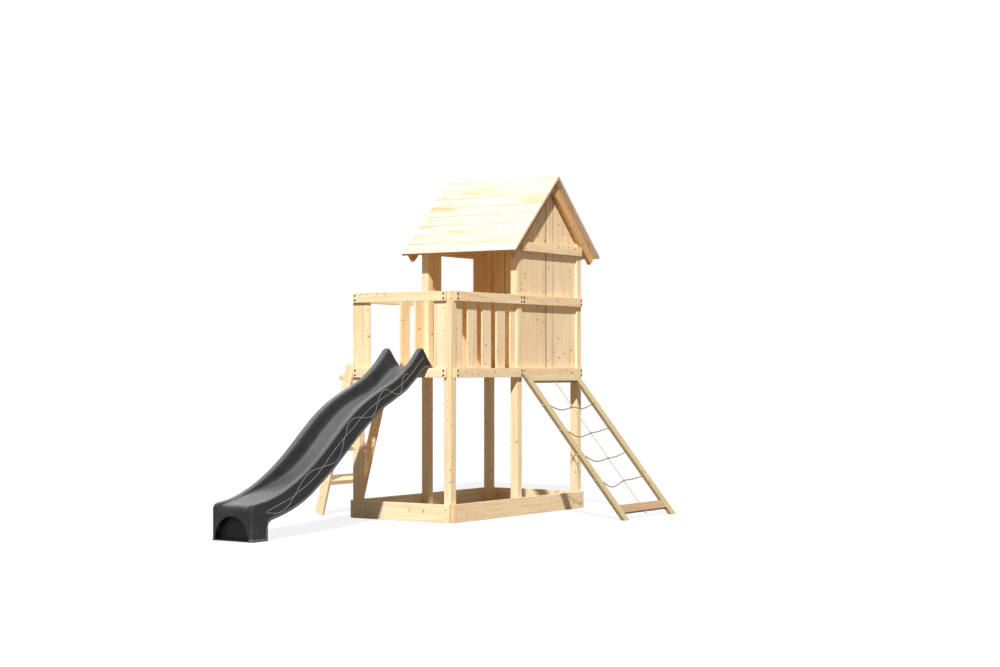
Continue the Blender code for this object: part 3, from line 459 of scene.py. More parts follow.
def sawn_wood(name, early, late, warm, halo_colour, knot_colour, joint_colour, end_colour, edge_colour,
              edged=0.0, ringed=0.6, streaked=0.5, lined=0.42, clouded=0.25):
    """Planed softwood: pale earlywood between darker growth rings, with pin knots and streaks.

    The rings of a real board are 3 to 5 mm apart. They are drawn at 12 mm, so that they show from
    a few steps away."""
    material, tree = new_material(name)
    grain, face_place, seam_gap = [add(tree, "Attribute", attribute_name=n).outputs["Vector"]
                                   for n in ("grain", "face_place", "seam_gap")]
    board, cut_end, edge = [add(tree, "Attribute", attribute_name=n).outputs["Fac"]
                            for n in ("board", "cut_end", "edge")]
    lot = add(tree, "TexWhiteNoise", {"W": board}, noise_dimensions="1D")
    lots = add(tree, "SeparateColor", {0: lot.outputs["Color"]}).outputs

    # The log bends and tapers over 200 mm, which turns straight rings into arches on a face.
    slow = add(tree, "VectorMath", {0: grain, 1: (1.0, 1.0, 0.22)}, operation="MULTIPLY")
    bend = add(tree, "TexNoise", {"Vector": slow, "W": board, "Scale": 5.0, "Detail": 1.5},
               noise_dimensions="4D").outputs["Color"]
    bent = add(tree, "VectorMath", {0: bend, 1: (0.055, 0.055, 0.0), 2: grain}, operation="MULTIPLY_ADD")

    # Knots 3 to 12 mm across lie in loose groups on every face, most of them wider across the grain.
    ragged = add(tree, "TexNoise", {"Vector": face_place, "Scale": 160.0, "Detail": 1.0}).outputs["Color"]
    squat = add(tree, "VectorMath", {0: ragged, 1: (0.007, 0.007, 0.0), 2: face_place},
                operation="MULTIPLY_ADD")
    squat = add(tree, "VectorMath", {0: squat, 1: (0.55, 1.0, 1.0)}, operation="MULTIPLY")
    cells = add(tree, "TexVoronoi", {"Vector": squat, "Scale": 1 / KNOT_SPACING}, voronoi_dimensions="2D")
    cell = add(tree, "SeparateColor", {0: cells.outputs["Color"]}).outputs
    away = add(tree, "Math", {0: cells.outputs["Distance"], 1: KNOT_SPACING}, operation="MULTIPLY")
    size = add(tree, "Math", {0: cell[0], 1: 4.0}, operation="POWER")
    size = add(tree, "MapRange", {0: size, 3: SMALLEST_KNOT, 4: LARGEST_KNOT})
    inner = add(tree, "Math", {0: size, 1: 0.50}, operation="MULTIPLY")
    outer = add(tree, "Math", {0: size, 1: 3.0}, operation="MULTIPLY")
    groups = add(tree, "TexNoise", {"Vector": face_place, "Scale": 4.5, "Detail": 1.0})
    clear = add(tree, "MapRange", {0: groups, 1: 0.32, 2: 0.58, 3: 0.85, 4: 0.12})
    kept = add(tree, "Math", {0: cell[1], 1: clear}, operation="GREATER_THAN")
    marks = []
    for reach in (size, outer):
        mark = add(tree, "MapRange", {0: away, 1: reach, 2: inner}, interpolation_type="SMOOTHSTEP")
        marks.append(add(tree, "Math", {0: mark, 1: kept}, operation="MULTIPLY"))
    core, halo = marks

    # Growth rings round a heart that lies off each board in its own direction.
    aside = add(tree, "MapRange", {0: lots[0], 3: -0.05, 4: 0.05})
    below = add(tree, "MapRange", {0: lots[1], 3: 0.03, 4: 0.10})
    heart = add(tree, "CombineXYZ", {0: aside, 1: below})
    outward = add(tree, "VectorMath", {0: bent, 1: heart}, operation="SUBTRACT")
    outward = add(tree, "VectorMath", {0: outward, 1: (1.0, 1.0, 0.0)}, operation="MULTIPLY")
    radius = add(tree, "VectorMath", {0: outward}, operation="LENGTH")
    radius = add(tree, "Math", {0: radius, 1: 1 / RING_GAP}, operation="MULTIPLY")
    radius = add(tree, "Math", {0: halo, 1: 0.9, 2: radius}, operation="MULTIPLY_ADD")
    year = add(tree, "Math", {0: radius}, operation="FRACT")
    rings = add(tree, "Math", {0: year, 1: 2.2}, operation="POWER")

    # Drawn out along the grain: clouds of resin 70 mm wide, streaks of 25 mm, thin dark lines of
    # 8 mm and fibres of 1.5 mm.
    figures = []
    for source, stretch, scale, detail in ((bent, 0.14, 15.0, 2.0), (bent, 0.06, 38.0, 3.0),
                                           (bent, 0.012, 120.0, 1.0), (grain, 0.03, 650.0, 1.0)):
        drawn = add(tree, "VectorMath", {0: source, 1: (1.0, 1.0, stretch)}, operation="MULTIPLY")
        figures.append(add(tree, "TexNoise", {"Vector": drawn, "W": board, "Scale": scale, "Detail": detail},
                           noise_dimensions="4D"))
    clouds, streak, lines, fibre = figures
    clouds = add(tree, "MapRange", {0: clouds, 1: 0.50, 2: 0.72})
    streak = add(tree, "MapRange", {0: streak, 1: 0.42, 2: 0.68})
    lines = add(tree, "MapRange", {0: lines, 1: 0.53, 2: 0.68})

    # Dirt and painted shade darken the joints and the arrises beside them.
    gaps = add(tree, "SeparateXYZ", {0: seam_gap}).outputs
    nearest = add(tree, "Math", {0: gaps[0], 1: gaps[1]}, operation="MINIMUM")
    joint = add(tree, "MapRange", {0: nearest, 1: 0.0040, 2: 0.0075, 3: 1.0, 4: 0.0})

    # The layers of colour, each a share of the one above: rings, streaks, lines, the board's own tone, its
    # edges, which some woods paint darker as painted shade, the halo and core of the knots, end grain and the
    # dirt and painted shade in the joints.
    colour = linear(early)
    for value, share, tint in ((rings, ringed, late), (clouds, clouded, warm), (streak, streaked, warm),
                               (lines, lined, halo_colour), (lots[2], 0.35, late),
                               (edge, edged, edge_colour), (halo, 0.55, halo_colour),
                               (core, 0.85, knot_colour), (cut_end, 0.6, end_colour),
                               (joint, 0.95, joint_colour)):
        amount = add(tree, "Math", {0: value, 1: share}, operation="MULTIPLY")
        colour = add(tree, "Mix", {0: amount, 6: colour, 7: linear(tint)}, data_type="RGBA")

    dull = add(tree, "MapRange", {0: rings, 3: 0.70, 4: 0.60})
    relief = add(tree, "Math", {0: fibre, 1: 0.7, 2: rings}, operation="MULTIPLY_ADD")
    relief = add(tree, "Math", {0: core, 1: -1.2, 2: relief}, operation="MULTIPLY_ADD")
    raised = add(tree, "Bump", {"Height": relief, "Strength": 0.35, "Distance": 0.0005})
    shader = add(tree, "BsdfPrincipled", {"Base Color": colour, "Roughness": dull, "Normal": raised})
    add(tree, "OutputMaterial", {0: shader})
    return material


planed_spruce = sawn_wood("planed_spruce", early="FFEDCB", late="F1CC97", warm="F3C388",
                          halo_colour="CA8C50", knot_colour="6A4020", joint_colour="50320F",
                          end_colour="D9AE78", edge_colour="F1CC97")
for row in ("front", "middle", "rear"):
    for side in ("left", "right"):
        dress_timber(f"post_{row}_{side}", planed_spruce)

# Beams and rails: spruce boards 78 mm deep at the platform and at hand height, bolted to the posts.
# Those at the sides are 45 mm thick, let into the posts, and meet end to end on the middle posts.
# Those at the front and rear are 27 mm thick.
for level in ("platform_beam", "rail"):
    for place in ("front", "rear", "balcony_left", "balcony_right", "house_left", "house_right"):
        dress_timber(f"{level}_{place}", planed_spruce)

# Sandbox: four spruce boards of 27 by 147 mm, on edge round the feet of the posts. They are screwed
# to the posts' outer faces.
for side in ("front", "rear", "left", "right"):
    dress_timber(f"sandbox_board_{side}", planed_spruce)

# Deck: spruce boards of 19 by 116 mm, laid side by side across two bearers that run from front to
# rear on the inner faces of the posts. Each board is screwed down.
DECK_BOARDS = 17
DECK_BOARD_WIDTH = 0.116
ACROSS_X, ACROSS_Y, UP = Vector((1, 0, 0)), Vector((0, 1, 0)), Vector((0, 0, 1))
deck_seams = [TOWER.y + DECK_BOARD_WIDTH * i for i in range(1, DECK_BOARDS)]
dress_timber("deck", planed_spruce, ACROSS_X, ACROSS_Y, deck_seams)
for side in ("left", "right"):
    dress_timber(f"deck_bearer_{side}", planed_spruce)

# Balcony: upright spruce boards, one on each side of the slide, five open slats on the right and
# two on the left. The slats are 15 mm thick, and screwed to the rails from inside.
RIGHT_SLATS = 5
LEFT_SLATS = 2
for side, count in (("right", RIGHT_SLATS), ("left", LEFT_SLATS)):
    dress_timber(f"front_board_{side}", planed_spruce)
    for i in range(count):
        dress_timber(f"balcony_slat_{side}_{i + 1}", planed_spruce)

# House walls: matched upright spruce boards between the posts, 15 mm thick, screwed to the rails from inside,
# with an open window on the left. The first joint of each side wall stands open, shown by a wider band of
# dirt and painted shade.
WALL_SEAMS = (1.445, 1.559)
REAR_WALL_BOARDS = 7
REAR_WALL_BOARD_WIDTH = 0.1225
wall_seams = [TOWER.y + y for y in WALL_SEAMS]
for wall in ("right", "left_sill", "left_header"):
    dress_timber(f"house_wall_{wall}", planed_spruce, UP, ACROSS_Y, wall_seams, (0,))
for wall in ("left_front", "left_rear"):
    dress_timber(f"house_wall_{wall}", planed_spruce, UP)
rear_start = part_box("house_wall_rear")[0].x
rear_seams = [rear_start + REAR_WALL_BOARD_WIDTH * i for i in range(1, REAR_WALL_BOARDS)]
dress_timber("house_wall_rear", planed_spruce, UP, ACROSS_X, rear_seams)

# Roof: two slopes of 19 mm spruce boards that run from gable to gable, nailed to four rafters, and a tie
# board across each gable. The roof boards are paler than the rest, and the rafters browner, as heartwood and
# as painted shade for their place under the roof.
ROOF_PITCH = math.radians(44.08)
ROOF_SLOPE = 0.967
ROOF_BOARDS = 8
ROOF_BOARD_WIDTH = 0.121
# The narrow long edges of the roof boards are painted orange brown, as painted shade.
roof_spruce = sawn_wood("planed_spruce_roof_boards", early="EAE2D6", late="E6DABF", warm="E2BE7C",
                        halo_colour="D8BC88", knot_colour="8C6E4C", joint_colour="DCC8A0",
                        end_colour="C08848", edge_colour="B0703A", edged=0.85, ringed=0.35,
                        streaked=0.15, lined=0.25, clouded=0.95)
heartwood_and_painted_shade = sawn_wood("planed_spruce_heartwood_and_painted_shade", early="E4BC88", late="D09C62", warm="CE9254",
                         halo_colour="AA723C", knot_colour="5C3A1C", joint_colour="42280F",
                         end_colour="B58350", edge_colour="D09C62")
roof_slopes = []
for row, sign in (("front", -1), ("rear", 1)):
    node = f"roof_slope_{row}"
    low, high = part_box(node)
    ridge = Vector((0, high.y if sign < 0 else low.y, high.z))
    down = Vector((0, sign * math.cos(ROOF_PITCH), -math.sin(ROOF_PITCH)))
    roof_slopes.append((ridge, down, sign))
    seams = sorted(ridge.dot(down) + ROOF_SLOPE - ROOF_BOARD_WIDTH * i for i in range(1, ROOF_BOARDS))
    dress_timber(node, roof_spruce, ACROSS_X, down, seams)
    for side in ("left", "right"):
        dress_timber(f"rafter_{row}_{side}", heartwood_and_painted_shade)
for side in ("left", "right"):
    dress_timber(f"gable_tie_{side}", planed_spruce)

# Ladder: two leaning stiles of 30 by 80 mm and four deep treads screwed between them, of planed
# spruce. It stands on the left of the balcony, with its stiles bolted to the platform beam.
for row in ("front", "rear"):
    dress_timber(f"ladder_stile_{row}", planed_spruce)
for i in range(4):
    dress_timber(f"ladder_tread_{i + 1}", planed_spruce)

# Ramp: two drilled stiles, with two cross boards screwed between them, of pressure-treated spruce, which is
# greener. Their narrow edges are painted browner, as painted shade. The board at the foot is the brownest,
# and its edges are painted near black, as painted shade.
treated_spruce = sawn_wood("pressure_treated_spruce", early="D2C29A", late="B8A474", warm="BEA678",
                           halo_colour="A0784A", knot_colour="583A1C", joint_colour="6E5432",
                           end_colour="A8895C", edge_colour="7C6444", edged=0.85)
brown_treated = sawn_wood("pressure_treated_spruce_brown", early="C6A682", late="AE8C66", warm="B48E68",
                          halo_colour="94704A", knot_colour="54361C", joint_colour="5C4226",
                          end_colour="8C6C48", edge_colour="2E1C0C", edged=0.9)
for row in ("near", "far"):
    dress_timber(f"ramp_stile_{row}", treated_spruce)
dress_timber("ramp_cross_board_top", treated_spruce)
dress_timber("ramp_cross_board_foot", brown_treated)

# Slide: one rotationally moulded shell of dark grey polyethylene with rolled rims, hollow below,
# that rests on the front beam and stands on its own foot, which has an arched recess.
SLIDE_CENTRE_X = 0.102
SLIDE_WIDTH = 0.386
SLIDE_RIM = 0.050
SLIDE_WALL = 0.006
SLIDE_LIP = 0.004
SLIDE_LIP_HEIGHT = 0.008
SLIDE_BACK = -0.023
SLIDE_REACH = 2.160
SLIDE_FOOT_BACK = 1.990
SLIDE_NOTCH_RADIUS = 0.040
SLIDE_NOSE_RADIUS = 0.055
SLIDE_CORNER_RADIUS = 0.028
SLIDE_SHOULDER = 0.014
SLIDE_UNDER_WALL = 0.0069
SLIDE_CLOSED_GAP = 0.0009   # height left inside a section that is solid
SLIDE_SEAT_STATIONS = (-0.012, 0.0, 0.012)
SLIDE_CREST = 0.055         # sections lie closer together on the crest, from here
SLIDE_CREST_STATIONS = 14
SLIDE_CREST_STEP = 0.008
SLIDE_STATION_STEP = 0.018
SLIDE_NOTCH_ANGLES = (12, 24, 36, 48, 60, 72, 82)
SLIDE_NOSE_ANGLES = (8, 16, 24, 32, 40, 48, 55)
SLIDE_CORNER_ANGLES = (66, 72, 78, 84)
SLIDE_FOOT_STEP = 0.0006    # the foot's upright back lies between sections this far either side
SLIDE_SEAT = 1.2432
WEAR_AND_LIGHT_FADE_FROM = 1.15            # from here to the foot the channel is made less pale, as painted shade
WEAR_AND_LIGHT_FADE = 0.85
BAND_PROUD = 0.0273         # how far the beams stand in front of the posts
ARCH_HALF_WIDTH = 0.158
ARCH_HEIGHT = 0.180
ARCH_DEPTH = 0.045
ARCH_SILL = 0.010
ARCH_WALL_BASE = 0.0003
ARCH_STEPS = 40
ARCH_NEAR = 0.002           # faces this near to the recess count as part of it
SLIDE_SHARP_ANGLE = math.radians(38)
# Side outlines of the slide: distance in front of the posts, height above ground.
RIM_OUTLINE = ((-0.023, 1.262), (0.030, 1.322), (0.082, 1.385), (0.106, 1.404), (0.132, 1.390),
               (0.174, 1.350), (0.255, 1.277), (0.414, 1.171), (0.570, 1.100), (0.723, 1.038),
               (0.873, 0.966), (1.021, 0.873), (1.167, 0.759), (1.310, 0.641), (1.450, 0.536),
               (1.589, 0.448), (1.725, 0.378), (1.858, 0.324), (1.990, 0.288), (2.160, 0.262))
BED_OUTLINE = ((-0.023, 1.262), (0.020, 1.258), (0.080, 1.231), (0.167, 1.182), (0.246, 1.124),
               (0.325, 1.075), (0.403, 1.038), (0.520, 1.002), (0.633, 0.964), (0.783, 0.889),
               (0.931, 0.785), (1.076, 0.665), (1.219, 0.548), (1.360, 0.461), (1.498, 0.401),
               (1.634, 0.362), (1.780, 0.330), (1.940, 0.293), (2.160, 0.246))
LOWER_OUTLINE = ((-0.023, 1.2432), (0.060, 1.2432), (0.093, 1.232), (0.174, 1.173), (0.255, 1.115),
                 (0.335, 1.062), (0.492, 0.990), (0.647, 0.918), (0.798, 0.817), (0.948, 0.710),
                 (1.094, 0.595), (1.239, 0.483), (1.380, 0.387), (1.520, 0.297), (1.657, 0.232),
                 (1.792, 0.186), (1.930, 0.152), (1.990, 0.140))
# Channel across the slide: share of its half width, share of its depth above the bed, and how pale it is
# made, by wear and by painted light.
CHANNEL_SHAPE = ((0, 0, 1), (0.66, 0.015, 1), (0.80, 0.07, 1), (0.86, 0.16, 0.38), (0.90, 0.32, 0.20),
                 (0.955, 0.80, 0.18), (0.985, 0.93, 0.42), (1.02, 0.985, 0.95))
# Lip along the lower edge: share of its reach, height in lip heights, and how pale it is made, which paints a
# highlight along the lip.
LIP_SHAPE = ((0, 2.3, 0), (0.3, 2.1, 1), (0.9, 1.5, 1), (1, 1, 0.9), (1, 0.8, 0), (1, 0, 0))
# The moulded lines on both sides: distance in front of the posts and height above ground.
WAVE = ((0.276, 1.186), (0.309, 1.196), (0.342, 1.191), (0.367, 1.167), (0.375, 1.132), (0.380, 1.093),
        (0.392, 1.058), (0.416, 1.041), (0.457, 1.038), (0.538, 1.063), (0.587, 1.074), (0.627, 1.063),
        (0.659, 1.037), (0.683, 0.998), (0.705, 0.945), (0.730, 0.895), (0.781, 0.867), (0.843, 0.860),
        (0.918, 0.866), (0.992, 0.858), (1.041, 0.832), (1.071, 0.795), (1.089, 0.742), (1.113, 0.698),
        (1.132, 0.630), (1.162, 0.578), (1.210, 0.537), (1.281, 0.518), (1.364, 0.504), (1.469, 0.486),
        (1.526, 0.463), (1.584, 0.425), (1.629, 0.380), (1.675, 0.327), (1.709, 0.285), (1.753, 0.244),
        (1.809, 0.211), (1.876, 0.194), (1.942, 0.195), (2.011, 0.207))
CENTRE_LINE = ((0.086, 1.334), (0.142, 1.291), (0.209, 1.236), (0.292, 1.170), (0.392, 1.112),
               (0.538, 1.045), (0.698, 0.979), (0.809, 0.921), (0.902, 0.862), (0.992, 0.793),
               (1.101, 0.720), (1.234, 0.619), (1.364, 0.504), (1.445, 0.441), (1.538, 0.386),
               (1.629, 0.340), (1.697, 0.307), (1.809, 0.269), (1.920, 0.236), (2.011, 0.208))
# A bead edges the back of the foot, up to the slide's lower edge.
FOOT_BEAD = ((1.900, 0.168), (1.945, 0.150), (1.982, 0.126), (1.996, 0.090), (1.997, 0.045),
             (1.997, 0.004))
RIB_HALF_WIDTH = 0.0029
RIB_HEIGHT = 0.0016
RIB_SUNK = 0.0004
RIB_STEP = 0.008
RIB_SMOOTHING = 3


def read_outline(outline, distance):
    """Height of a side outline at a distance, on a smooth curve through its points."""
    places = [p[0] for p in outline]
    heights = [p[1] for p in outline]
    last = len(outline) - 1
    slopes = []
    for i in range(len(outline)):
        a, b = max(i - 1, 0), min(i + 1, last)
        slopes.append((heights[b] - heights[a]) / (places[b] - places[a]))
    i = max(k for k in range(last) if k == 0 or places[k] <= distance)
    width = places[i + 1] - places[i]
    t = min(max((distance - places[i]) / width, 0), 1)
    value = heights[i] * (2 * t ** 3 - 3 * t ** 2 + 1) + heights[i + 1] * (3 * t ** 2 - 2 * t ** 3)
    return value + width * (slopes[i] * (t ** 3 - 2 * t * t + t) + slopes[i + 1] * (t ** 3 - t * t))


def slide_levels(distance):
    """Rim, bed and lower edge of the slide at a distance."""
    rim = read_outline(RIM_OUTLINE, distance)
    bed = min(read_outline(BED_OUTLINE, distance), rim)
    past_nose = max(0, distance - (SLIDE_REACH - SLIDE_NOSE_RADIUS))
    fall = SLIDE_NOSE_RADIUS - math.sqrt(max(SLIDE_NOSE_RADIUS ** 2 - past_nose ** 2, 0))
    lower = max(read_outline(LOWER_OUTLINE, distance), 0)
    if distance < BAND_PROUD:
        lower = SLIDE_SEAT
    before_foot = SLIDE_FOOT_BACK - distance
    if before_foot < SLIDE_NOTCH_RADIUS:
        beyond = SLIDE_NOTCH_RADIUS - max(before_foot, 0)
        lower -= SLIDE_NOTCH_RADIUS - math.sqrt(SLIDE_NOTCH_RADIUS ** 2 - beyond ** 2)
    if before_foot < SLIDE_FOOT_STEP / 2:
        lower = 0
    return rim - fall, bed - fall, lower


def rounded(points, times):
    """An open line with its corners cut again and again, which rounds them."""
    for _ in range(times):
        cut = [points[0]]
        for a, b in zip(points, points[1:]):
            cut.append(tuple(p * 0.75 + q * 0.25 for p, q in zip(a, b)))
            cut.append(tuple(p * 0.25 + q * 0.75 for p, q in zip(a, b)))
        points = cut + [points[-1]]
    return points


def slide_section(distance, hollow):
    """Half of a closed ring across the slide, the outer faces first and then the underside.

    Each point has its place across, its height and how pale it is made, for wear and painted light."""
    rim, bed, lower = slide_levels(distance)
    past_corner = max(0, distance - (SLIDE_REACH - SLIDE_CORNER_RADIUS))
    narrow = SLIDE_CORNER_RADIUS - math.sqrt(max(SLIDE_CORNER_RADIUS ** 2 - past_corner ** 2, 0))
    half = SLIDE_WIDTH / 2 - narrow
    inner = half - SLIDE_RIM
    depth = rim - bed
    tall = rim - lower
    lip = min(SLIDE_LIP_HEIGHT, tall * 0.3)
    shoulder = min(SLIDE_SHOULDER, tall * 0.3)
    crown = SLIDE_RIM / 4
    past_nose = (distance - SLIDE_REACH + SLIDE_NOSE_RADIUS) / (SLIDE_NOSE_RADIUS * 0.8)
    # Towards the foot and over the nose the channel is made less pale, as painted shade where the bed and
    # nose catch the most light.
    near_foot = min(max((distance - WEAR_AND_LIGHT_FADE_FROM) / (SLIDE_REACH - WEAR_AND_LIGHT_FADE_FROM), 0), 1)
    wear_and_painted_light = (1 - min(max(past_nose, 0), 1) ** 1.5) * (1 - WEAR_AND_LIGHT_FADE * near_foot)
    face = [(inner * across, bed + depth * up, wear_and_light) for across, up, wear_and_light in CHANNEL_SHAPE]
    # The rim's crown is made pale, as a painted highlight.
    face += [(inner + crown * 0.8, rim, 1), (half - crown, rim, 1),
             (half - crown / 5, rim - shoulder * 0.2, 0.60), (half, rim - shoulder, 0)]
    face = [(w, z, wear_and_light * wear_and_painted_light) for w, z, wear_and_light in rounded(face, 3)]
    face += [(half + SLIDE_LIP * out, lower + lip * up, wear_and_light) for out, up, wear_and_light in LIP_SHAPE]
    wall, thick = SLIDE_WALL, SLIDE_UNDER_WALL
    under = [(half - wall, rim - shoulder - thick), (half - crown * 1.2, rim - thick),
             (inner + crown, rim - thick)]
    for across, up, _ in reversed(CHANNEL_SHAPE[1:-2]):
        under.append((inner * across + wall * min(1, up * 4), bed + depth * up - thick * (1 - up / 2)))
    under.append((0, bed - thick))
    closed = lower + SLIDE_CLOSED_GAP
    under = [(w, closed + (z - closed) * hollow, 0) for w, z in rounded(under, 2)]
    return face + [(half - wall, lower, 0)] + under


def slide_stations():
    """Distances of the sections, with how hollow each is: 0 is solid, 1 is a thin wall."""
    nose = SLIDE_REACH - SLIDE_NOSE_RADIUS
    notch = SLIDE_FOOT_BACK - SLIDE_NOTCH_RADIUS
    end_wall = SLIDE_REACH - SLIDE_WALL
    thin = [SLIDE_CREST + SLIDE_CREST_STEP * i for i in range(SLIDE_CREST_STATIONS)]
    crest_end = thin[-1]
    count = round((notch - crest_end) / SLIDE_STATION_STEP)
    thin += [crest_end + (notch - crest_end) / count * i for i in range(1, count + 1)]
    thin += [notch + SLIDE_NOTCH_RADIUS * math.sin(math.radians(a)) for a in SLIDE_NOTCH_ANGLES]
    thin += [SLIDE_FOOT_BACK - SLIDE_FOOT_STEP, SLIDE_FOOT_BACK + SLIDE_FOOT_STEP,
             SLIDE_FOOT_BACK + 0.04, nose - 0.03, nose]
    thin += [nose + SLIDE_NOSE_RADIUS * math.sin(math.radians(a)) for a in SLIDE_NOSE_ANGLES]
    thin = [s for s in thin if s < end_wall - 0.001] + [end_wall - 0.0004]
    tip = [SLIDE_REACH - SLIDE_CORNER_RADIUS * (1 - math.sin(math.radians(a))) for a in SLIDE_CORNER_ANGLES]
    seat = [SLIDE_BACK, *SLIDE_SEAT_STATIONS, BAND_PROUD]
    front = [end_wall, *tip, SLIDE_REACH]
    return [(s, 0) for s in seat] + [(s, 1) for s in thin] + [(s, 0) for s in front]


def slide_shell():
    """The closed shell of the slide, with an attribute that says how pale each place is made, for wear and
    painted light.
    """
    work = bmesh.new()
    rings = []
    wear_and_painted_light = work.verts.layers.float.new("wear_and_painted_light")
    for distance, hollow in slide_stations():
        half_ring = slide_section(distance, hollow)
        ring = half_ring + [(-w, z, wear_and_light) for w, z, wear_and_light in reversed(half_ring[1:-1])]
        vertices = []
        for w, z, wear_and_light in ring:
            vertex = work.verts.new(TOWER + Vector((SLIDE_CENTRE_X + w, -distance, z)))
            vertex[wear_and_painted_light] = wear_and_light
            vertices.append(vertex)
        rings.append(vertices)
    for ring, following in zip(rings, rings[1:]):
        for i in range(len(ring)):
            n = (i + 1) % len(ring)
            work.faces.new((ring[i], ring[n], following[n], following[i]))
    work.faces.new(rings[0])
    work.faces.new(rings[-1][::-1])
    return finish_mesh(work, "slide_shell")


def arch_block(name, margin, base, front, back):
    """A round-headed block across the slide's foot, larger than its arch by a margin."""
    half_width = ARCH_HALF_WIDTH + margin
    height = ARCH_HEIGHT + margin
    outline = []
    for i in range(ARCH_STEPS + 1):
        angle = math.pi * i / ARCH_STEPS
        x = SLIDE_CENTRE_X + half_width * math.cos(angle)
        outline.append((x, base + (height - base) * math.sin(angle)))
    work = bmesh.new()
    near, far = ([work.verts.new(TOWER + Vector((x, y, z))) for x, z in outline] for y in (front, back))
    work.faces.new(near)
    work.faces.new(far[::-1])
    for i in range(len(outline)):
        n = (i + 1) % len(outline)
        work.faces.new((near[i], far[i], far[n], near[n]))
    return put(name, finish_mesh(work, name))


def as_mesh(obj):
    """The mesh of an object with its modifiers applied. The object is removed."""
    graph = bpy.context.evaluated_depsgraph_get()
    mesh = bpy.data.meshes.new_from_object(obj.evaluated_get(graph), preserve_all_data_layers=True,
                                           depsgraph=graph)
    bpy.data.objects.remove(obj, do_unlink=True)
    return mesh


def rib_mesh(name, outlines):
    """Raised half-round ribs that follow lines on both outer walls of the slide."""
    work = bmesh.new()
    for side in (-1, 1):
        wall_x = SLIDE_CENTRE_X + side * SLIDE_WIDTH / 2
        for outline in outlines:
            drawn = smooth_route([Vector((0, -s, z)) for s, z in outline], RIB_STEP)
            for _ in range(RIB_SMOOTHING):
                inner = [(a + b * 2 + c) / 4 for a, b, c in zip(drawn, drawn[1:], drawn[2:])]
                drawn = [drawn[0], *inner, drawn[-1]]
            rings = []
            for i, point in enumerate(drawn):
                before, after = drawn[max(i - 1, 0)], drawn[min(i + 1, len(drawn) - 1)]
                tangent = (after - before).normalized()
                lateral = Vector((0, -tangent.z, tangent.y))
                taper = min(1.0, min(i, len(drawn) - 1 - i) / 4 + 0.15)
                ring = []
                for share in (-1, -0.8, -0.4, 0, 0.4, 0.8, 1):
                    reach = RIB_HEIGHT * math.sqrt(1 - share * share)
                    spot = point + lateral * RIB_HALF_WIDTH * share * taper
                    x = wall_x + side * (reach * taper - RIB_SUNK)
                    ring.append(work.verts.new(TOWER + Vector((x, spot.y, spot.z))))
                rings.append(ring)
            for ring, following in zip(rings, rings[1:]):
                for a, b, c, d in zip(ring, ring[1:], following[1:], following):
                    work.faces.new((a, b, c, d)).smooth = True
                work.faces.new((ring[-1], ring[0], following[0], following[-1]))
            work.faces.new(rings[0])
            work.faces.new(rings[-1][::-1])
    return finish_mesh(work, name)


def moulded_plastic(name, wall_colour, wear_and_highlight_colour):
    """Moulded polyethylene: a faint pebbled skin and mottled colour, paler where it is rubbed and where a
    highlight is painted, darker where shade is painted, and near black in the recess as painted shade.
    """
    material, tree = new_material(name)
    place = add(tree, "TexCoord").outputs["Object"]
    wear_and_painted_light, recess_painted_shade = [add(tree, "Attribute", attribute_name=n).outputs["Fac"]
                         for n in ("wear_and_painted_light", "recess_painted_shade")]
    mottle = add(tree, "TexNoise", {"Vector": place, "Scale": 9.0, "Detail": 4.0})
    pale = add(tree, "MapRange", {0: mottle, 1: 0.35, 2: 0.70, 4: 0.05})
    # Scuffs of 1 to 2 mm run down the channel, where children slide. The skin has pebbles of
    # 2.4 mm, and its colour changes over 110 mm.
    stretched = add(tree, "VectorMath", {0: place, 1: (1.0, 0.035, 0.035)}, operation="MULTIPLY")
    scuffs = add(tree, "TexNoise", {"Vector": stretched, "Scale": 520.0, "Detail": 3.0})
    scuffs = add(tree, "MapRange", {0: scuffs, 1: 0.52, 2: 0.72, 4: 0.30})
    scuffs = add(tree, "Math", {0: scuffs, 1: wear_and_painted_light}, operation="MULTIPLY")
    colour = linear(wall_colour)
    # The last layer is near black painted shade in the foot's recess.
    for share, tint in ((wear_and_painted_light, wear_and_highlight_colour), (pale, "77797B"), (scuffs, "8E9092"), (recess_painted_shade, "060607")):
        colour = add(tree, "Mix", {0: share, 6: colour, 7: linear(tint)}, data_type="RGBA")
    dull = add(tree, "MapRange", {0: mottle, 1: 0.3, 2: 0.7, 3: 0.42, 4: 0.54})
    pebbles = add(tree, "TexNoise", {"Vector": place, "Scale": 420.0, "Detail": 2.0})
    raised = add(tree, "Bump", {"Height": pebbles, "Strength": 0.25, "Distance": 0.0004})
    shader = add(tree, "BsdfPrincipled", {"Base Color": colour, "Roughness": dull, "IOR": 1.51,
                                          "Specular IOR Level": 0.20, "Normal": raised})
    add(tree, "OutputMaterial", {0: shader})
    return material


slide_plastic = moulded_plastic("moulded_polyethylene", "202021", "5D5D5E")
# The ribs are the same plastic; their pale grey is a painted highlight along the moulded lines.
rib_painted_highlight = moulded_plastic("moulded_polyethylene_ribs_painted_highlight", "8C8E90", "8C8E90")
shell = put("slide_form", slide_shell())
front_y = -SLIDE_REACH
back_y = front_y + ARCH_DEPTH
wall_block = arch_block("arch_wall", SLIDE_WALL, ARCH_WALL_BASE, front_y + SLIDE_WALL / 2,
                        back_y + SLIDE_WALL)
cut_block = arch_block("arch_cut", 0, ARCH_SILL, front_y - SLIDE_WALL, back_y)
for block, operation in ((wall_block, "UNION"), (cut_block, "DIFFERENCE")):
    cut = shell.modifiers.new(block.name, "BOOLEAN")
    cut.solver = "EXACT"
    cut.operation = operation
    cut.object = block
slide_mesh = as_mesh(shell)
for block in (wall_block, cut_block):
    bpy.data.objects.remove(block, do_unlink=True)
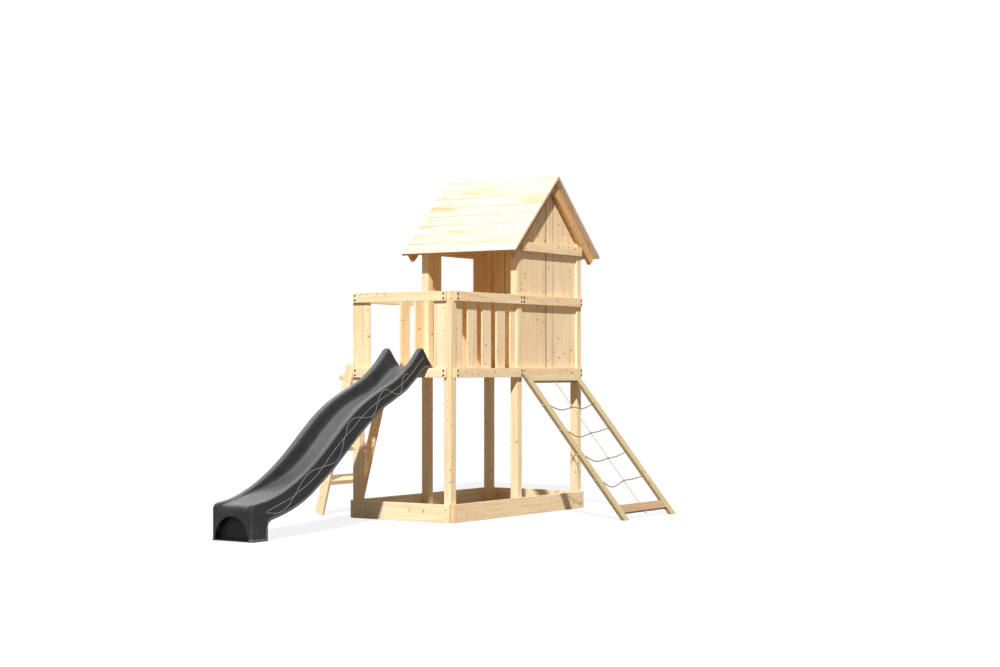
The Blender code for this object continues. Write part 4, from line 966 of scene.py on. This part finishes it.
# The recess is never rubbed, and its faces are painted near black as painted shade, so it stays the darkest.
recess_painted_shade = slide_mesh.attributes.new("recess_painted_shade", "FLOAT", "FACE")
arch_middle = TOWER + Vector((SLIDE_CENTRE_X, front_y, 0))
for face in slide_mesh.polygons:
    place = face.center - arch_middle
    within = math.hypot(place.x / (ARCH_HALF_WIDTH + ARCH_NEAR), place.z / (ARCH_HEIGHT + ARCH_NEAR)) < 1
    if within and ARCH_NEAR / 2 < place.y < ARCH_DEPTH + ARCH_NEAR / 2:
        recess_painted_shade.data[face.index].value = 1.0
        for vertex in face.vertices:
            slide_mesh.attributes["wear_and_painted_light"].data[vertex].value = 0.0
slide_mesh.shade_smooth()
slide_mesh.set_sharp_from_angle(angle=SLIDE_SHARP_ANGLE)
slide = link_piece("slide_moulding", slide_mesh, slide_plastic)
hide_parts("slide")
ribs = link_piece("slide_ribs", rib_mesh("slide_ribs", (WAVE, CENTRE_LINE, FOOT_BEAD)), rib_painted_highlight)

# Bolts: black-coated steel, with hexagon heads of 14 mm on washers. There are two at each end of a
# beam or rail, and two through the head of each ladder stile.
HEAD_TAPER = 0.82
WASHER_SIDES = 20
TWIST = 1.05
TWIST_SEED = 7
SIDES = (-1, 1)
FORWARDS, BACKWARDS = (0, -1, 0), (0, 1, 0)
POSTS_REAR = 2.0
BAND_LEVELS = (1.841, 1.804, 1.221, 1.184)
BAND_OUTER = 0.527
FRONT_BOLT_X = (-0.458, 0.443)
REAR_BOLT_X = (-0.443, 0.443)
SIDE_BOLT_Y = (0.056, 0.992, 1.031, 1.958)
LADDER_RUN = 0.3367
LADDER_RISE = 1.2429
LADDER_LEAN = math.atan2(LADDER_RUN, LADDER_RISE)
LADDER_FOOT_X = -0.864
LADDER_STILES_Y = (0.055, 0.565)
LADDER_STILE_DEPTH = 0.080
LADDER_BOLTS_ALONG = (1.225, 1.262)


def head_tree():
    """A Geometry Nodes tree that sets a fastener head with its washer on every point."""
    heads = bpy.data.node_groups.new("fastener_heads", "GeometryNodeTree")
    sockets = [("Points", "Geometry")]
    sockets += [(n, "Float") for n in ("Head Radius", "Head Height", "Washer Radius", "Washer Height")]
    sockets += [("Head Sides", "Int"), ("Finish", "Material")]
    for label, kind in sockets:
        heads.interface.new_socket(label, in_out="INPUT", socket_type="NodeSocket" + kind)
    heads.interface.new_socket("Heads", in_out="OUTPUT", socket_type="NodeSocketGeometry")
    given = add(heads, "NodeGroupInput").outputs
    top_radius = add(heads, "Math", {0: given["Head Radius"], 1: HEAD_TAPER}, operation="MULTIPLY")
    head = add(heads, "GeometryNodeMeshCone", {"Vertices": given["Head Sides"], "Radius Top": top_radius,
                                               "Radius Bottom": given["Head Radius"],
                                               "Depth": given["Head Height"]})
    lift = add(heads, "CombineXYZ", {2: given["Washer Height"]})
    head = add(heads, "GeometryNodeTransform", {"Geometry": head, "Translation": lift})
    washer = add(heads, "GeometryNodeMeshCone", {"Vertices": WASHER_SIDES,
                                                 "Radius Top": given["Washer Radius"],
                                                 "Radius Bottom": given["Washer Radius"],
                                                 "Depth": given["Washer Height"]})
    both = add(heads, "GeometryNodeJoinGeometry")
    for part in (head, washer):
        heads.links.new(part.outputs[0], both.inputs[0])
    facing = add(heads, "GeometryNodeInputNamedAttribute", {"Name": "facing"}, data_type="FLOAT_VECTOR")
    aimed = add(heads, "FunctionNodeAlignRotationToVector", {"Vector": facing}, axis="Z")
    spin = add(heads, "FunctionNodeRandomValue", {"Max": TWIST, "Seed": TWIST_SEED}, data_type="FLOAT")
    twist = add(heads, "CombineXYZ", {2: spin})
    turned = add(heads, "FunctionNodeRotateRotation", {0: aimed, 1: twist}, rotation_space="LOCAL")
    placed = add(heads, "GeometryNodeInstanceOnPoints", {"Points": given["Points"], "Instance": both,
                                                         "Rotation": turned})
    real = add(heads, "GeometryNodeRealizeInstances", {0: placed})
    finished = add(heads, "GeometryNodeSetMaterial", {"Geometry": real, "Material": given["Finish"]})
    add(heads, "NodeGroupOutput", {0: finished})
    return heads


fastener_heads = head_tree()


def set_fasteners(name, spots, finish, **sizes):
    """Heads at spots, each a place on the tower and the direction that it faces."""
    mesh = bpy.data.meshes.new(name + "_spots")
    mesh.from_pydata([TOWER + Vector(place) for place, _ in spots], [], [])
    facing = mesh.attributes.new("facing", "FLOAT_VECTOR", "POINT")
    for value, (_, direction) in zip(facing.data, spots):
        value.vector = direction
    holder = put(name + "_spots", mesh)
    nodes = holder.modifiers.new("heads", "NODES")
    nodes.node_group = fastener_heads
    values = {key.replace("_", " ").title(): size for key, size in sizes.items()}
    values["Finish"] = finish
    for item in fastener_heads.interface.items_tree:
        if item.in_out == "INPUT" and item.name in values:
            nodes[item.identifier] = values[item.name]
    link_piece(name, as_mesh(holder), finish)


def metal(name, colour, roughness, metallic):
    """Coated steel, whose colour and dull shine vary in spots of 3 mm."""
    material, tree = new_material(name)
    place = add(tree, "TexCoord").outputs["Object"]
    uneven = add(tree, "TexNoise", {"Vector": place, "Scale": 300.0, "Detail": 2.0})
    shade = add(tree, "MapRange", {0: uneven, 1: 0.3, 2: 0.7, 4: 0.35})
    tone = add(tree, "Mix", {0: shade, 6: linear(colour), 7: linear("5A5550")}, data_type="RGBA")
    rough = add(tree, "MapRange", {0: uneven, 1: 0.3, 2: 0.7, 3: roughness - 0.08, 4: roughness + 0.08})
    shader = add(tree, "BsdfPrincipled", {"Base Color": tone, "Roughness": rough, "Metallic": metallic})
    add(tree, "OutputMaterial", {0: shader})
    return material


black_steel = metal("black_coated_steel", "17181A", 0.45, 0.3)
ladder_out = Vector((-math.cos(LADDER_LEAN), 0, math.sin(LADDER_LEAN)))
ladder_up = Vector((math.sin(LADDER_LEAN), 0, math.cos(LADDER_LEAN)))


def ladder_place(along, outward, y):
    """A place on the ladder: along its inner edge, outwards from it, and from the front."""
    return Vector((LADDER_FOOT_X, y, 0)) + ladder_up * along + ladder_out * outward


bolts = []
for z in BAND_LEVELS:
    bolts += [((x, -BAND_PROUD, z), FORWARDS) for x in FRONT_BOLT_X]
    bolts += [((x, POSTS_REAR + BAND_PROUD, z), BACKWARDS) for x in REAR_BOLT_X]
    bolts += [((side * BAND_OUTER, y, z), (side, 0, 0)) for side in SIDES for y in SIDE_BOLT_Y]
for along in LADDER_BOLTS_ALONG:
    bolts += [(ladder_place(along, LADDER_STILE_DEPTH, y), ladder_out) for y in LADDER_STILES_Y]
set_fasteners("bolt_heads", bolts, black_steel, head_sides=6, head_radius=0.0070, head_height=0.0050,
              washer_radius=0.0088, washer_height=0.0014)

# Screws: yellow zinc-plated steel, 4.5 mm with countersunk heads of 9 mm. They hold the sandbox,
# deck, slats, walls, treads, cross boards of the ramp, gable ties and the seat of the slide.
SANDBOX_SCREW_X = 0.465
SANDBOX_SCREW_Y = (0.035, 1.002, 1.965)
SANDBOX_SCREW_Z = (0.042, 0.105)
DECK_TOP = 1.2425
DECK_SCREW_INSET = 0.028
DECK_SCREW_SPAN = (0.03, 1.97)
BEARER_X = 0.4074
RAIL_SCREW_Z = 1.823
WALL_INNER = 0.4667
SLAT_PITCH = 0.208
SLAT_SCREW_ASIDE = 0.032
SLAT_SCREW_SPAN = (0.08, 0.96)
RIGHT_SLAT_FIRST = 0.119
LEFT_SLAT_FIRST = 0.6855
WALL_SCREW_Y = (1.10, 1.20, 1.30, 1.40, 1.50, 1.61, 1.72, 1.83)
WINDOW_SPAN = (1.2, 1.8)
REAR_WALL_START = -0.4297
REAR_WALL_INNER = 1.9844
REAR_WALL_SCREW_INSET = 0.030
TREAD_HEIGHTS = (0.273, 0.558, 0.843, 1.128)
TREAD_SCREWS_OUT = (0.022, 0.058)
LADDER_FRONT_Y = 0.040
LADDER_REAR_Y = 0.580
RAMP_SCREW_SLOPES = (0.055, 0.097, 1.447, 1.489)
TIE_SCREW_Y = (1.055, 1.085, 1.925, 1.950)
TIE_SCREW_DROP = 0.018
SLIDE_SCREW_X = 0.075
SLIDE_SCREW_DISTANCE = 0.006
zinc_steel = metal("yellow_zinc_steel", "8C7A55", 0.42, 0.9)
screws = []
for x in (-SANDBOX_SCREW_X, SANDBOX_SCREW_X):
    for z in SANDBOX_SCREW_Z:
        screws += [((x, -BAND_PROUD, z), FORWARDS), ((x, POSTS_REAR + BAND_PROUD, z), BACKWARDS)]
for side in SIDES:
    for y in SANDBOX_SCREW_Y:
        screws += [((side * BAND_OUTER, y, z), (side, 0, 0)) for z in SANDBOX_SCREW_Z]
for i in range(DECK_BOARDS):
    for x in (-BEARER_X, BEARER_X):
        for y in (DECK_BOARD_WIDTH * i + DECK_SCREW_INSET, DECK_BOARD_WIDTH * (i + 1) - DECK_SCREW_INSET):
            if DECK_SCREW_SPAN[0] < y < DECK_SCREW_SPAN[1]:
                screws.append(((x, y, DECK_TOP), (0, 0, 1)))
for side, first, count in ((1, RIGHT_SLAT_FIRST, RIGHT_SLATS), (-1, LEFT_SLAT_FIRST, LEFT_SLATS)):
    for i in range(count):
        for aside in (-SLAT_SCREW_ASIDE, SLAT_SCREW_ASIDE):
            y = first + SLAT_PITCH * i + aside
            if SLAT_SCREW_SPAN[0] < y < SLAT_SCREW_SPAN[1]:
                screws.append(((side * WALL_INNER, y, RAIL_SCREW_Z), (-side, 0, 0)))
for y in WALL_SCREW_Y:
    for side in SIDES:
        if side > 0 or y < WINDOW_SPAN[0] or y > WINDOW_SPAN[1]:
            screws.append(((side * WALL_INNER, y, RAIL_SCREW_Z), (-side, 0, 0)))
for i in range(REAR_WALL_BOARDS):
    for x in (REAR_WALL_BOARD_WIDTH * i + REAR_WALL_SCREW_INSET,
              REAR_WALL_BOARD_WIDTH * (i + 1) - REAR_WALL_SCREW_INSET):
        screws.append(((REAR_WALL_START + x, REAR_WALL_INNER, RAIL_SCREW_Z), FORWARDS))
for height in TREAD_HEIGHTS:
    along = height / math.cos(LADDER_LEAN)
    for outward in TREAD_SCREWS_OUT:
        screws += [(ladder_place(along, outward, LADDER_FRONT_Y), FORWARDS),
                   (ladder_place(along, outward, LADDER_REAR_Y), BACKWARDS)]
for slope in RAMP_SCREW_SLOPES:
    for y, facing in ((RAMP_NEAR_Y, FORWARDS), (RAMP_FAR_Y, BACKWARDS)):
        screws.append((ramp_point(slope, y, ROPE_DEPTH) - TOWER, facing))
low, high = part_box("gable_tie_right")
tie_screw_z = (low.z + high.z) / 2 - TIE_SCREW_DROP
for side in SIDES:
    screws += [((side * BAND_OUTER, y, tie_screw_z), (side, 0, 0)) for y in TIE_SCREW_Y]
bed_z = slide_levels(SLIDE_SCREW_DISTANCE)[1]
for x in (-SLIDE_SCREW_X, SLIDE_SCREW_X):
    screws.append(((SLIDE_CENTRE_X + x, -SLIDE_SCREW_DISTANCE, bed_z), (0, -0.1, 1)))
set_fasteners("screw_heads", screws, zinc_steel, head_sides=12, head_radius=0.0045, head_height=0.0008,
              washer_radius=0.0045, washer_height=0.0004)

# Nails: wire nails of the same steel with heads of 7 mm, driven through the roof boards. Two hold
# each board to each rafter.
RAFTER_X = 0.5182
NAIL_INSETS = (0.030, 0.091)
nails = []
for ridge, down, sign in roof_slopes:
    ridge = ridge - Vector((0, TOWER.y, 0))
    facing = Vector((0, sign * math.sin(ROOF_PITCH), math.cos(ROOF_PITCH)))
    for i in range(ROOF_BOARDS):
        for inset in NAIL_INSETS:
            distance = ROOF_SLOPE - ROOF_BOARD_WIDTH * i - inset
            nails += [(ridge + down * distance + Vector((x, 0, 0)), facing) for x in (-RAFTER_X, RAFTER_X)]
set_fasteners("nail_heads", nails, zinc_steel, head_sides=8, head_radius=0.0035, head_height=0.0007,
              washer_radius=0.0035, washer_height=0.0003)

bpy.context.view_layer.update()
